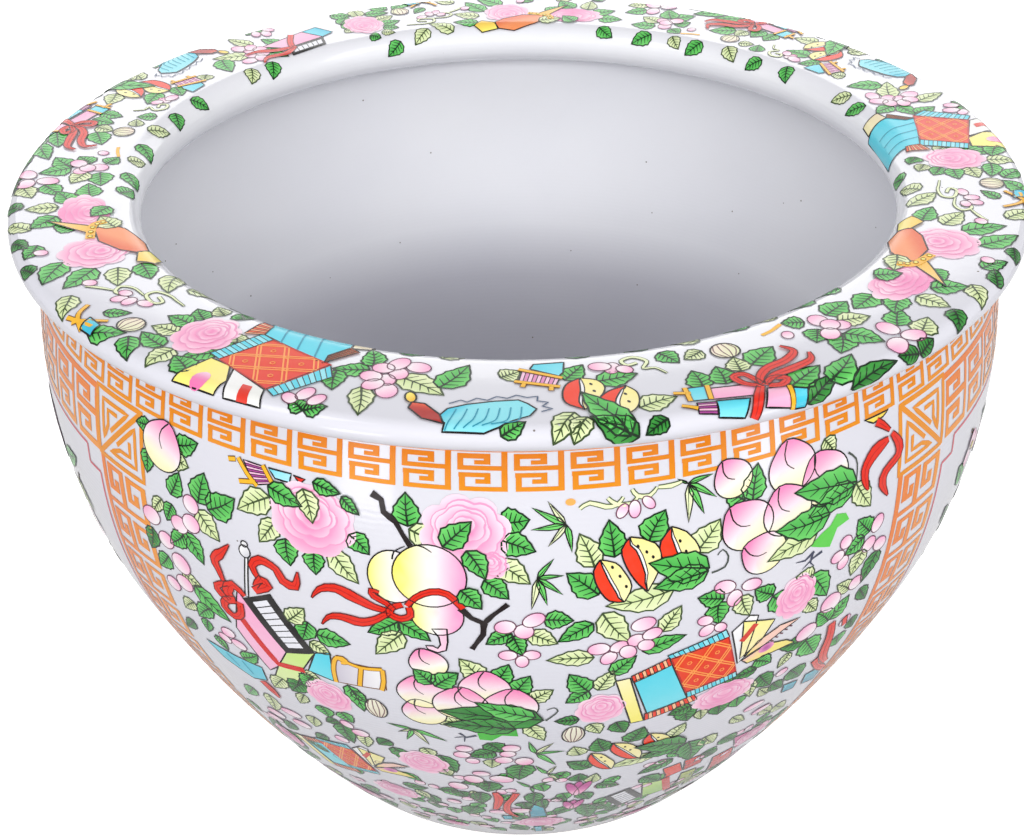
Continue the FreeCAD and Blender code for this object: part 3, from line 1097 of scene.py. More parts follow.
    def peony(self, pen: Pen, wide: float, high: float) -> None:
        """A full double flower: rounds of wide petals, deep at their feet and pale at their edges.

        Args:
            pen: the pen.
            wide: its width.
            high: its height.
        """
        for number, (share, lobes, dx, dy) in enumerate(self.round_shares):
            a, b = wide / 2 * share, high / 2 * share
            x, y = dx * wide, dy * high
            phase = number * self.round_turn + wobble(pen.az, pen.h)
            count = lobes * self.lobe_points
            outline = []
            for g in (2 * math.pi * i / count for i in range(count)):
                wave = abs(math.sin(lobes * g / 2 + phase)) ** self.lobe_bend
                scallop = 1 - self.lobe_depth + self.lobe_depth * wave
                outline.append((x + a * scallop * math.cos(g), y + b * scallop * math.sin(g)))
            foot, reach = self.tone_shares
            tint = Tint(self.peony_tones, (x, y - b * foot), (x + max(a, b) * reach, y), True)
            pen.fill(outline, tint, number, pen.surface.petal_step)
            if number:
                pen.line(outline, self.petal_line, self.petal_ink, number + self.petal_rise, closed=True)

    def peach(self, pen: Pen, r: float) -> None:
        """A peach of radius r with its tip up: rose at the tip, pale below, with its cleft.

        Args:
            pen: the pen.
            r: its radius.
        """
        outline = []
        for g in (2 * math.pi * i / self.peach_points for i in range(self.peach_points)):
            reach = r * (1 + self.tip_rise * max(0.0, math.cos(g)) ** self.tip_power)
            outline.append((-reach * self.peach_wide * math.sin(g), reach * math.cos(g)))
        start, end = self.peach_shade_shares
        pen.shape(outline, Tint(self.peach_tones, (0, r * start), (0, r * end)), 0, INK, self.peach_line)
        pen.line([(r * x, r * y) for x, y in self.cleft_shares], self.cleft_line, smooth=True)

    def ribbon(self, pen: Pen, points: Way, widths: Widths) -> None:
        """A red ribbon along some points, with dark edges and a fold line.

        Args:
            pen: the pen.
            points: the points in order.
            widths: widths spread evenly along it.
        """
        way = smooth_way(points, pen.surface.line_step)
        for side in pen.band(way, widths, Tint((RED,))):
            pen.line(side, self.ribbon_line, self.ribbon_ink)
        if len(way) > self.fold_least:
            pen.line(way[1:-1], self.fold_line, DARK_RED)

    def sprig(self, pen: Pen, tips: Way, pale: tuple[int, ...]) -> None:
        """Bamboo leaves from the pen's spot to some local points, pale ones where their numbers are given.

        Args:
            pen: the pen.
            tips: local points of the tips.
            pale: the numbers of the pale leaves.
        """
        for number, tip in enumerate(tips):
            length, turn = math.hypot(*tip), math.degrees(math.atan2(tip[1], tip[0]))
            outline = [turned(length * x, length * y, turn) for x, y in self.blade_shares]
            light, _, ink = (PALE if number in pale else GREEN).value
            pen.shape(outline, Tint((light,)), 0, INK, self.ribbon_line)
            pen.line([(0, 0), blend_spot((0, 0), tip, self.blade_rib)], self.blade_line, ink)

    def stripes(self, pen: Pen, corners: Way, colours: tuple[Colour, ...], count: int) -> None:
        """A four-cornered panel with stripes in turn across the way along its first side.

        Args:
            pen: the pen.
            corners: its four corners.
            colours: its colours in order.
            count: how many there are.
        """
        for i in range(count):
            cell = cell_part(corners, i / count, 0, (i + 1) / count, 1)
            pen.fill(cell, Tint((colours[i % len(colours)],)))
            if i:
                pen.line([cell[0], cell[3]], self.stripe_line)
        pen.line(corners, closed=True)

    def lattice(self, pen: Pen, corners: Way) -> None:
        """An orange panel with doubled light lines crossing it and small rings between.

        Args:
            pen: the pen.
            corners: its four corners.
        """
        pen.shape(corners, Tint((ORANGE, RED), corners[0], corners[2]), 0, DARK_RED)
        for shift in self.doubled_shares:
            for m in (share + shift for share in self.crossing_shares):
                for ends in (((m, 0), (1, 1 - m)), ((0, 1 - m), (m, 1)), ((m, 0), (0, m)), ((1, m), (m, 1))):
                    pen.line([in_cell(corners, *end) for end in ends], colour=LATTICE_LINE)
        for x in self.ring_shares:
            for y in self.ring_shares:
                ring = oval(self.ring_size, self.ring_size, 0, self.ring_points, *in_cell(corners, x, y))
                pen.line(ring, self.thin_line, LATTICE_LINE, 2, closed=True)

    def melon(self, pen: Pen, rind: Way, flesh: Way, seeds: Way) -> None:
        """A cut melon slice from its rind line and flesh line, which share their ends.

        Args:
            pen: the pen.
            rind: local points down the outside.
            flesh: local points down the edge of the flesh.
            seeds: local points of the seeds.
        """
        ways = [smooth_way(way, pen.surface.line_step) for way in (rind, flesh)]
        last = min(len(way) for way in ways) - 1
        outside, edge = ([way[round(i * (len(way) - 1) / last)] for i in range(last + 1)] for way in ways)
        inner, pale = ([blend_spot(p, q, share) for p, q in zip(outside, edge)] for share in self.rind_shares)
        pen.fill([*outside, *inner[::-1][1:-1]], Tint((self.rind_colour,)))
        pen.fill([*inner, *pale[::-1][1:-1]], Tint((WHITE,)))
        pen.fill([*pale, *edge[::-1][1:-1]], Tint(self.flesh_colours, pale[0], edge[-1]))
        for way, width in zip((outside, inner, pale, edge), self.melon_lines):
            pen.line(way, width)
        for x, y in seeds:
            pen.fill(oval(*self.seed_size, 20, 7, x, y), Tint((INK,)), 1)


GREEN, DEEP, PALE, BRIGHT = LeafKind.GREEN, LeafKind.DEEP, LeafKind.PALE, LeafKind.BRIGHT
MOTIFS = Motifs()


class Kind(Enum):
    """The pieces that a field's motifs are gathered in."""

    LEAVES = "leaves"
    FLOWERS = "flowers"
    BERRIES = "berries"
    FRUITS = "fruits"
    EMBLEMS = "emblems"
    RIBBONS = "ribbons"


@dataclass
class Field:
    """A decorated field: its surface, its turn about Z, and a sheet for each kind of motif."""

    label: str
    surface: WallSurface | RimSurface
    node: str
    slot: str = "flower_enamel"
    spin: float = 0.0
    sheets: dict = field(default_factory=dict)
    leaf_bow: float = 0.05
    leaf_layers: int = 3
    berry_layers: int = 2
    bud_points: int = 18
    bud_shade: tuple[Spot, Spot] = ((-3, 3), (3, -3))
    bud_line_shares: tuple[float, ...] = (-0.24, -0.08, 0.08, 0.24)
    bud_way_shares: tuple = ((1.0, 0.44), (1.6, 0.0), (0.6, -0.46))
    rod_edge: float = 1.5
    bud_ink: Colour = (120, 84, 90)
    curl_ink: Colour = (78, 92, 58)
    slot_colour: Colour = (236, 236, 244)
    slot_shares: tuple[float, ...] = (0.24, 0.76, 0.08, 0.84)

    def pen(self, kind: Kind, az: float, h: float, turn: float = 0.0, level: float = 0.0) -> Pen:
        """A pen at a spot.

        Args:
            kind: the piece that it goes in.
            az: the spot's azimuth.
            h: its height, or its way in on the rim.
            turn: turn in degrees.
            level: enamel layers over the ground.

        Returns:
            The pen.
        """
        if kind not in self.sheets:
            self.sheets[kind] = Sheet(f"{kind.value}_{self.label}", self.slot, [self.node])
        return Pen(self.surface, self.sheets[kind], az, h, turn, level, self.spin)

    def about(self, kind: Kind, places: Way, level: float) -> tuple[Pen, Way]:
        """A pen in the middle of some places, and the places as its local points.

        Args:
            kind: the piece that it goes in.
            places: azimuths and heights.
            level: enamel layers over the ground.

        Returns:
            The pen and the local points.
        """
        az, h = (sum(side) / len(places) for side in zip(*places))
        pen = self.pen(kind, az, h, 0.0, level)
        return pen, pen.spots(places)

    def leaves(self, rows: tuple, level: float = 0.0) -> None:
        """Leaves, as rows of a kind and then the base, tip and width of each.

        Args:
            rows: a row for each.
            level: enamel layers over the ground.
        """
        for kind, *places in rows:
            for number, (az, h, to_az, to_h, width) in enumerate(places):
                u, v = self.surface.local(az, h, to_az, to_h)
                pen = self.pen(Kind.LEAVES, az, h, math.degrees(math.atan2(v, u)),
                               level + number % self.leaf_layers)
                long, wide = self.surface.leaf_growth
                MOTIFS.leaf(pen, math.hypot(u, v) * long, width * wide, kind, self.leaf_bow * wobble(az, h))

    def berries(self, rows: tuple, level: float = 3.0) -> None:
        """Berries or petals, each from its place, half widths and turn.

        Args:
            rows: a row for each.
            level: enamel layers over the ground.
        """
        for number, (az, h, a, b, turn) in enumerate(rows):
            pen = self.pen(Kind.BERRIES, az, h, turn, level + number % self.berry_layers * self.berry_layers)
            MOTIFS.berry(pen, a, b)

    def peonies(self, rows: tuple, level: float = 3.0) -> None:
        """Peonies, each from its place, width and height."""
        for az, h, wide, high in rows:
            MOTIFS.peony(self.pen(Kind.FLOWERS, az, h, 0.0, level), wide, high)

    def peaches(self, rows: tuple, level: float = 3.0) -> None:
        """Peaches, each from its place, radius and turn, the later ones in front."""
        for number, (az, h, r, turn) in enumerate(rows):
            MOTIFS.peach(self.pen(Kind.FRUITS, az, h, turn, level + number), r)

    def ribbons(self, rows: tuple, level: float) -> None:
        """Red ribbons, each from its places and widths.

        Args:
            rows: a row for each.
            level: enamel layers over the ground.
        """
        for places, widths in rows:
            pen, points = self.about(Kind.RIBBONS, places, level)
            MOTIFS.ribbon(pen, points, widths)

    def shape(self, places: Way, *colours: Colour, level: float = 0.0, kind: Kind = Kind.EMBLEMS) -> None:
        """An outlined patch, its colours running from its first place to its last."""
        pen, points = self.about(kind, places, level)
        pen.shape(points, Tint(colours, points[0], points[-1]))

    def shapes(self, *rows: tuple) -> None:
        """Outlined patches, each from its level, its two colours and its places."""
        for level, first, last, *places in rows:
            self.shape(places, first, last, level=level)

    def patch(self, places: Way, *colours: Colour, level: float, kind: Kind = Kind.EMBLEMS) -> None:
        """A patch with no outline."""
        pen, points = self.about(kind, places, level)
        pen.fill(points, Tint(colours, points[0], points[-1]))

    def disc(self, kind: Kind, spot: Spot, sizes: Spot, tint: Tint, level: float, count: int,
             turn: float = 0.0, edge: Colour = INK, width: float = 0.6) -> None:
        """An outlined oval at a spot, of count points."""
        self.pen(kind, *spot, turn, level).shape(oval(*sizes, 0, count), tint, 0, edge, width)

    def stroke(self, places: Way, widths: Widths | float, colour: Colour = INK, level: float = 0.0,
               smooth: bool = True, kind: Kind = Kind.EMBLEMS) -> None:
        """A line through some places."""
        pen, points = self.about(kind, places, level)
        pen.line(points, widths, colour, 0, smooth=smooth)

    def rods(self, ways: list[Way], width: float, level: float) -> None:
        """Gold rods with brown edges.

        Args:
            ways: the places of each.
            width: width of the gold.
            level: enamel layers over the ground.
        """
        for places in ways:
            self.stroke(places, width * self.rod_edge, BROWN, level)
            self.stroke(places, width, GOLD, level + 2)

    def curls(self, ways: list[Way], widths: Widths, level: float, edge: float = 0.7) -> None:
        """Pale cloud curls with dark edges.

        Args:
            ways: the places of each.
            widths: widths spread evenly along it.
            level: enamel layers over the ground.
            edge: how much wider the dark edge is.
        """
        for places in ways:
            self.stroke(places, tuple(w + edge for w in widths), self.curl_ink, level, kind=Kind.LEAVES)
            self.stroke(places, widths, PALE.value[0], level + 2, kind=Kind.LEAVES)

    def bud(self, spot: Spot, wide: float, high: float, colours: tuple[Colour, ...], level: float) -> None:
        """A round bud with lines down it.

        Args:
            spot: its place.
            wide: its width.
            high: its height.
            colours: its colours in order.
            level: enamel layers over the ground.
        """
        tint = Tint(colours, *self.bud_shade)
        self.disc(Kind.LEAVES, spot, (wide / 2, high / 2), tint, level, self.bud_points)
        pen = self.pen(Kind.LEAVES, *spot, 0, level)
        for shift in self.bud_line_shares:
            way = [(shift * x * wide, high * y) for x, y in self.bud_way_shares]
            pen.line(way, MOTIFS.thin_line, self.bud_ink, smooth=True)

    def stripes(self, level: float, colours: tuple[Colour, ...], count: int, *places: Spot) -> None:
        """A striped panel between four places, its stripes side by side from the first to the second."""
        pen, points = self.about(Kind.EMBLEMS, places, level)
        MOTIFS.stripes(pen, points, colours, count)

    def lattice(self, level: float, *places: Spot) -> None:
        """An orange latticed panel between four places."""
        MOTIFS.lattice(*self.about(Kind.EMBLEMS, places, level))

    def slots(self, count: int, *corners: Spot, level: float = 2.0) -> None:
        """A black panel with a row of pale slots from its first and second corners to its others.

        Args:
            count: how many there are.
            corners: its four corners.
            level: enamel layers over the ground.
        """
        pen, points = self.about(Kind.EMBLEMS, corners, level)
        pen.fill(points, Tint((INK,)))
        left, right, low, high = self.slot_shares
        for i in range(count):
            slot = cell_part(points, left, low + i * high / count, right, low + (i + high) * high / count)
            pen.fill(slot, Tint((self.slot_colour,)), 1)

    def sprig(self, centre: Spot, tips: Way, pale: tuple[int, ...] = ()) -> None:
        """Bamboo leaves from a centre to some places."""
        pen = self.pen(Kind.LEAVES, *centre, 0.0, 1.0)
        MOTIFS.sprig(pen, pen.spots(tips), pale)

    def melons(self, rows: tuple) -> None:
        """Melon slices, each from its level, rind, flesh line between the same ends, and seeds.

        Args:
            rows: a row for each.
        """
        for level, rind, flesh, seeds in rows:
            pen, points = self.about(Kind.FRUITS, rind, level)
            MOTIFS.melon(pen, points, [points[0], *pen.spots(flesh), points[-1]], pen.spots(seeds))

    def finish(self, material: Material) -> None:
        """Makes the field's pieces."""
        for sheet in self.sheets.values():
            sheet.make(material)


@dataclass(frozen=True)
class FlowerGround:
    """The flowered ground between two frames. Places are azimuths and heights."""

    leaves: tuple = (
        (GREEN,
        (-34.7, 264, -31.8, 268, 7), (-38.2, 266, -40.3, 265, 5), (-38.8, 257, -38.9, 248, 6),
        (-35.6, 244, -34.3, 254, 7), (-31.9, 246, -31, 258, 9), (-30.7, 245, -27.5, 253, 10),
        (-35.6, 240, -36.6, 232, 6), (-34.2, 231, -32.3, 220, 8), (-34.4, 229, -36.6, 222, 7),
        (-37.6, 214, -39.5, 206, 7), (-34.5, 206, -30.6, 195, 9), (-33, 197, -35.4, 188, 7),
        (-34.3, 188, -35, 180, 5), (-31, 173, -28.4, 180, 6), (-34, 180, -33, 173, 5),
        (-22, 244, -21.7, 234, 8), (-19.1, 242, -19.1, 233, 7), (-15.6, 251, -13.8, 245, 7),
        (-20.7, 210, -21.7, 200, 8), (-20, 205, -16.6, 204, 8), (-21.8, 179, -23.3, 171, 7),
        (-17.8, 180, -16.9, 164, 7), (-17.4, 177, -16.1, 171, 5), (-22.4, 158, -22, 150, 7),
        (-20, 158, -19, 151, 7), (-10.1, 257, -10.3, 268, 8), (-1.8, 254, 1.1, 250, 8),
        (-1.9, 260, 0.6, 261, 9), (-3.4, 239, -1.3, 232, 7), (8.2, 246, 7.7, 259, 8),
        (11.3, 250, 12.8, 260, 9), (6.8, 232, 4, 241, 9), (1.9, 223, 4.5, 222, 7), (-1, 217, -3.3, 212, 6),
        (-0.9, 216, 0, 207, 6), (6.4, 220, 3.3, 213, 7), (11.2, 204, 15.3, 208, 7),
        (8.4, 194, 10.6, 202, 7), (6.3, 186, 4.4, 196, 8), (6.3, 186, 4.2, 180, 7),
        (-2.8, 192, -1.4, 202, 8), (-0.9, 186, 0.6, 196, 8), (-11.4, 219, -14.4, 212, 7),
        (-11.4, 219, -8.6, 212, 7), (18.9, 221, 16.3, 224, 7), (18.4, 220, 18.7, 210, 8),
        (20.5, 258, 18.7, 264, 7), (21.3, 257, 21.9, 269, 8), (36, 225, 34.1, 233, 8),
        (35.3, 224, 32.8, 220, 7), (33, 187, 30.9, 195, 8), (33.2, 187, 35.1, 196, 9),
        (30.5, 181, 33, 168, 10), (24.3, 216, 22.2, 221, 7), (24.3, 215, 26.8, 206, 9),
        (28.6, 218, 31.3, 204, 9), (24, 182, 26.2, 177, 7), (23.8, 158, 24.4, 150, 7),
        (36.2, 170, 37.3, 162, 8),
        ),
        (DEEP,
        (-39.3, 224, -40.3, 213, 7), (-23.4, 172, -25.4, 163, 8), (-37.3, 181, -39.3, 173, 5),
        (5.6, 168, 3.2, 168, 6), (9.6, 163, 10.8, 154, 7), (38.1, 213, 36.5, 200, 8),
        (36.7, 196, 38.5, 187, 6), (30.6, 182, 26.8, 184, 8), (24.6, 176, 21.9, 175, 6),
        (21, 179, 21.2, 168, 6), (25.5, 170, 27.9, 158, 8), (17.8, 164, 15.4, 161, 8),
        (17.3, 163, 18.1, 152, 8), (21.4, 158, 22, 149, 8), (30.4, 162, 33, 151, 9),
        (37.6, 178, 38.7, 170, 6),
        ),
        (PALE,
        (-35.4, 260, -33, 258, 8), (-32.1, 243, -29.7, 234, 9), (-37, 240, -38.6, 232, 5),
        (-36, 210, -33.4, 207, 6), (-35.5, 195, -37.5, 188, 6), (-23.5, 258, -27, 250, 9),
        (-22.9, 250, -24.8, 240, 7), (-17.4, 244, -15, 233, 8), (-22.9, 208, -20.9, 216, 7),
        (-20.9, 200, -18.9, 196, 6), (-22.7, 181, -20.8, 178, 5), (-26, 170, -28, 160, 7),
        (-24, 163, -25.3, 154, 5), (-10, 256, -6.7, 252, 8), (-2.3, 246, 0.6, 238, 8),
        (6.4, 243, 5.1, 255, 8), (15.8, 243, 18, 253, 10), (13.8, 230, 7.7, 227, 10),
        (0.5, 217, 3.1, 212, 7), (7.2, 224, 9.9, 210, 9), (13, 212, 14.6, 222, 7), (6.6, 204, 2.3, 204, 7),
        (7.2, 186, 8.5, 196, 7), (-4, 194, -5.9, 204, 8), (0.7, 182, 2.8, 188, 7), (-6, 165, -10, 168, 7),
        (0.4, 166, 2.1, 154, 7), (6.8, 164, 8, 156, 6), (-11.1, 214, -13.9, 202, 8),
        (20.7, 220, 21.9, 210, 7), (29.3, 270, 30.5, 264, 6), (33.3, 249, 35.5, 237, 8),
        (35.5, 218, 34.4, 208, 8), (34.8, 200, 32.7, 206, 6), (28.6, 178, 27.8, 170, 5),
        (28.9, 217, 26.8, 220, 7), (28.8, 205, 30.4, 198, 6), (24.7, 168, 25.6, 155, 5),
        (19.2, 158, 19.8, 150, 5),
        ),
    )
    # most of these low leaves take the darker DEEP green, partly as painted shade of the lower flank
    low_leaves: tuple = (
        (GREEN,
        (-33, 146, -35.6, 134, 6), (-15.8, 74, -17.3, 69, 6),
        ),
        (DEEP,
        (-21.2, 149, -22.9, 144, 5), (-20.7, 147, -20.6, 130, 8), (-15.3, 142, -16.9, 136, 6),
        (-15.3, 136, -13.3, 122, 8), (-24.8, 127, -26.7, 118, 5), (-30.2, 124, -32.1, 114, 6),
        (-3.9, 151, -2.4, 143, 8), (-3.2, 143, -6.1, 138, 8), (0, 132, -0.6, 116, 10),
        (9.2, 139, 8, 151, 8), (11.7, 144, 12.9, 155, 9), (7.9, 124, 5, 132, 8), (-9.7, 136, -8.3, 120, 8),
        (-4.5, 111, -7.9, 108, 8), (-4.3, 112, -4.9, 100, 9), (6.9, 110, 6.8, 118, 7),
        (9.6, 103, 12.7, 97, 7), (7.6, 94, 9.1, 84, 7), (4.2, 91, 5.9, 84, 6), (1.4, 99, 1.2, 83, 7),
        (2.4, 90, 3.1, 76, 5), (-9, 98, -11.7, 95, 6), (-8.8, 97, -8.1, 90, 7), (-5.8, 98, -6, 83, 8),
        (-13.5, 85, -13.4, 72, 6), (-7, 76, -8.7, 62, 9), (-0.1, 86, 0.4, 78, 7), (8.6, 76, 10.9, 50, 8),
        (10.3, 74, 13.4, 61, 8), (20, 129, 22.1, 106, 11), (26, 117, 28.8, 108, 8), (19.1, 114, 15, 106, 9),
        (16, 100, 19.2, 88, 8), (32.2, 114, 36, 100, 9), (35.5, 106, 38.6, 92, 8),
        (28.4, 158, 30.7, 149, 6), (-17, 92, -13.4, 94, 7), (-34.5, 114, -37.8, 98, 6),
        (-27, 104, -30.5, 111, 6), (26.6, 99, 24.2, 107, 7), (-33, 95, -36.5, 84, 7),
        ),
        (PALE,
        (-30.4, 148, -31.6, 132, 7), (-24.5, 144, -25.4, 134, 6), (-18.2, 142, -18.8, 130, 6),
        (-3.6, 136, -3.8, 128, 6), (6.3, 138, 5.5, 146, 7), (17, 140, 18, 150, 7), (16, 126, 10.4, 121, 9),
        (-11.3, 141, -10.6, 133, 6), (-9.8, 122, -9.1, 116, 6), (8.7, 106, 8.9, 116, 6),
        (-6.9, 99, -6.8, 86, 4), (22.3, 128, 24.4, 118, 8), (25, 139, 27.6, 130, 5),
        (28.5, 150, 26.6, 158, 5), (-15.2, 89, -13.9, 79, 5), (33, 127, 36, 117, 7),
        (30, 133, 32.6, 124, 6),
        ),
    )
    foot_rows: tuple = (
        (DEEP, 8, 11, (76, 64, 52, 40), (-36, -27, -13, -2, 7, 15, 24, 33)),
        (PALE, 7, 10, (70, 58, 46, 34), (-31, -20, -9, 3, 11, 19, 29, 37)),
        (GREEN, 6, 9, (122, 109, 96, 82, 69, 57, 45, 35),
         (-38, -33, -24, -16, -11, -6, -2, 2, 5, 12, 18, 26, 32, 38)),
    )
    foot_berries: tuple = (
        (114, 100, 87, 73, 60, 49, 39), (-36, -27, -20, -14, -8, -3, 3, 10, 16, 23, 29, 35), 2.8, 2.2,
    )
    foot_level: float = -1.0
    foot_sway: float = 2.0
    foot_lean: float = 1.2
    foot_lowest: float = 26.0
    pair_turn: float = 90.0
    pair_shift: Spot = (1.5, 0.3)
    over_level: float = 10.0
    first_peaches: int = 6
    wrap_base: Spot = (10.7, 188.5)
    barbs: int = 5
    barb_step: Spot = (0.5, 1.1)
    lotus_petals: tuple = ((-0.26, 16, 5), (0.26, -16, 5), (0, 0, 3))
    lotus_shares: tuple[float, ...] = (0.26, 0.5, 0.1)
    berries: tuple = (
        (-32.9, 244, 3.4, 3.6, 30), (-33.1, 236, 4, 3.7, 20), (-34.8, 233, 3.6, 4, 100),
        (-39, 230, 3.8, 4.8, 110), (-37.3, 222, 4, 3.6, 30), (-35.7, 214, 4.4, 4.6, 20),
        (-36, 204, 4.2, 3.8, 20), (-38, 200, 3.6, 3.4, 20), (-1.6, 220, 3.5, 2.8, 190),
        (1, 223, 3.9, 2.7, 30), (0.1, 218, 3.2, 3.2, 270), (-1.4, 207, 3.1, 2.3, 180),
        (0.8, 207, 2.9, 2.2, 0), (-0.1, 204, 2.9, 2.2, 270), (11.1, 217, 4.2, 3, 10),
        (12, 212, 3.4, 2.6, 20), (10.5, 210, 3, 2.8, 200), (7, 208, 3.7, 2.7, 180),
        (8.9, 208, 3.2, 2.5, 30), (11.5, 207, 3, 2.6, 330), (8, 203, 3.3, 2.6, 240),
        (9.8, 205, 3.3, 2.8, 300), (18.9, 226, 4, 2.8, 160), (21.7, 224, 3.8, 2.5, 350),
        (20, 220, 3.6, 2.8, 270), (17.2, 213, 2.9, 2.2, 160), (17.5, 208, 3, 2.5, 220),
        (18.9, 208, 2.6, 2, 320), (32.7, 226, 3, 2.7, 120), (31.8, 221, 3, 2.6, 190),
        (32.7, 217, 3, 2.5, 260), (37, 227, 3.8, 3, 70), (36.2, 219, 3.4, 3.2, 30), (38, 216, 3, 3.6, 60),
        (32.4, 198, 5, 4.6, 120), (30, 187, 4.2, 4.6, 120), (35.5, 202, 3.2, 3.4, 60),
        (-31.5, 187, 3.4, 2.6, 200), (-32.4, 182, 3, 2.4, 160), (-30.5, 182, 2.6, 3.4, 80),
        (36.2, 180, 3, 2.6, 40), (28.8, 165, 2.6, 2.2, 20), (-28.4, 138, 3, 5, 100),
        (-27.8, 130, 3, 4.4, 100), (-32, 128, 3.4, 4.6, 100), (-33.4, 120, 3, 4.4, 100),
        (-20, 148, 3, 2.4, 120), (-18.7, 143, 3.6, 2.8, 200), (-22.2, 130, 3, 2.6, 180),
        (-6.6, 145, 2.6, 3.2, 100), (-7, 139, 3.2, 2.8, 200), (-5.9, 134, 2.6, 2.6, 260),
        (-1.4, 147, 3, 3.4, 100), (-1.8, 142, 3, 2.6, 200), (-2.3, 136, 3.4, 3, 200),
        (0, 135, 3.6, 3.4, 280), (-6.3, 114, 3.8, 4, 200), (-2.8, 116, 3.6, 4.6, 250),
        (-8.6, 104, 3.8, 4, 200), (-5.2, 121, 2.4, 3.4, 90), (-0.6, 73, 3.6, 4.4, 100),
        (-3.9, 70, 3.2, 4, 90), (27.6, 142, 2.6, 4.6, 100), (29.6, 134, 2.4, 4.4, 100),
        (-16.6, 46, 3.2, 3, 60), (-23.5, 56, 3, 3.4, 60), (-34, 55, 3.2, 3, 60), (10, 41, 3, 3.2, 60),
        (24.6, 61, 3, 3.4, 60), (31.2, 41, 3.2, 3, 60), (-7, 38, 3, 3, 60), (18.5, 45, 3, 3, 60),
        (37, 62, 3, 3, 60), (-10.2, 81, 2.6, 3, 60),
    )
    peonies: tuple = (
        (-19.2, 253.5, 31, 27), (-20.6, 168.5, 18, 21), (-5, 256, 29, 27), (7.7, 174, 18, 19),
        (27.2, 210.5, 17, 21), (21.4, 165.5, 25, 18), (-12, 126, 20, 22), (-19, 80, 21, 17),
        (2.6, 51, 22, 18), (-34.6, 99, 13, 20), (-29, 48.5, 17, 15), (22, 30.5, 15, 10),
        (-12.8, 35.5, 13, 10), (33.4, 100, 18, 20), (-2.8, 245, 12, 11),
    )
    peaches: tuple = (
        (-10.1, 170.5, 7.6, 15), (-9.9, 183.3, 8.6, 5), (-3.7, 188.6, 8.6, 0), (-6.2, 178.5, 9.3, -5),
        (-1.3, 178.6, 9.2, -5), (-8.9, 200.6, 6.4, 20), (19.4, 266.2, 6.4, 30), (25.6, 264.2, 8.6, 10),
        (29.4, 256.3, 9.3, 25), (20.9, 248.4, 8.9, 40), (25.1, 249.3, 8.9, 20), (22.8, 235.8, 7.9, 60),
        (-36.5, 261, 8.8, -20),
    )
    melons: tuple = (
        (4, ((6.9, 245.5), (6.3, 241.5), (6.7, 235), (7.8, 229), (9.2, 228)),
         ((8.3, 243.8), (9.1, 240), (9.8, 234)), ((8, 242.3), (8.7, 238.5), (9.3, 234.2))),
        (6, ((9.6, 252.7), (8.8, 248.5), (9.3, 241.5), (10.4, 234.5), (11.3, 231)),
         ((11.3, 250.8), (12.3, 247), (12.4, 240)), ((10.3, 249), (11.1, 246.5), (11.7, 244.3))),
        (4, ((13.4, 254.2), (12.4, 249.5), (12.4, 244.5), (13.2, 239.5), (14.4, 237)),
         ((14.8, 251.5), (15.9, 246), (16.1, 241)), ((14.2, 248.5), (14.8, 244.2), (15.4, 240.8))),
        (4, ((7.6, 138.5), (7.3, 133.5), (8.1, 126.5), (9.5, 121), (10.7, 119.5)),
         ((8.9, 136.5), (9.9, 131.5), (10.8, 126)), ((8.9, 133.5), (9.5, 129))),
        (6, ((9.9, 145.5), (9.7, 140), (10.8, 133), (12.4, 127.5), (13.9, 126)),
         ((11.5, 143.5), (12.8, 139), (13.8, 132)), ((11.4, 140.5), (12.2, 136.5))),
        (4, ((14, 148.3), (13.4, 143.5), (13.7, 138.5), (14.6, 134), (15.6, 131.5)),
         ((15.6, 145.5), (16.8, 140.5), (17.2, 135)), ((15.2, 143), (15.9, 138.5))),
    )
    over_leaves: tuple = (
        (GREEN,
        (-7, 251, -4.5, 260, 8), (-4.9, 250, -3.3, 240, 7), (-5.5, 235, -3.7, 228, 7),
        (-8.8, 190, -10.4, 197, 7), (-8.5, 189, -6.2, 197, 8), (1.2, 172, -4.6, 181, 9),
        (33.3, 250, 26, 255, 12), (33, 249, 27.6, 244, 9), (30, 242, 24, 243, 11),
        (17.1, 236, 11.5, 242, 11), (17, 235, 12, 232, 9), (-23.6, 262, -20.2, 258, 7),
        (-19, 267, -16.4, 265, 5), (-16.2, 264, -14.6, 259, 4),
        ),
        (DEEP,
        (2, 170, -8.2, 174, 15), (-0.8, 164, -8, 165, 10), (19.4, 130, 12.8, 138, 11),
        (19, 130, 14, 126, 9),
        ),
        (PALE,
        (28.6, 236, 23.3, 232, 9), (-20, 264, -19.1, 253, 7),
        ),
    )

    def draw(self, area: Field) -> None:
        """Draws the whole ground.

        Args:
            area: the field to draw in.
        """
        area.leaves(self.leaves)
        area.leaves(self.low_leaves)
        self.draw_foot(area)
        area.leaves(self.over_leaves, self.over_level)
        area.berries(self.berries)
        area.peonies(self.peonies)
        area.peaches(self.peaches[:self.first_peaches])
        area.peaches(self.peaches[self.first_peaches:])
        self.draw_sprigs(area)
        self.draw_gourd(area)
        area.melons(self.melons)
        self.draw_box(area)
        self.draw_books(area)
        self.draw_ribbons(area)
        self.draw_small_things(area)

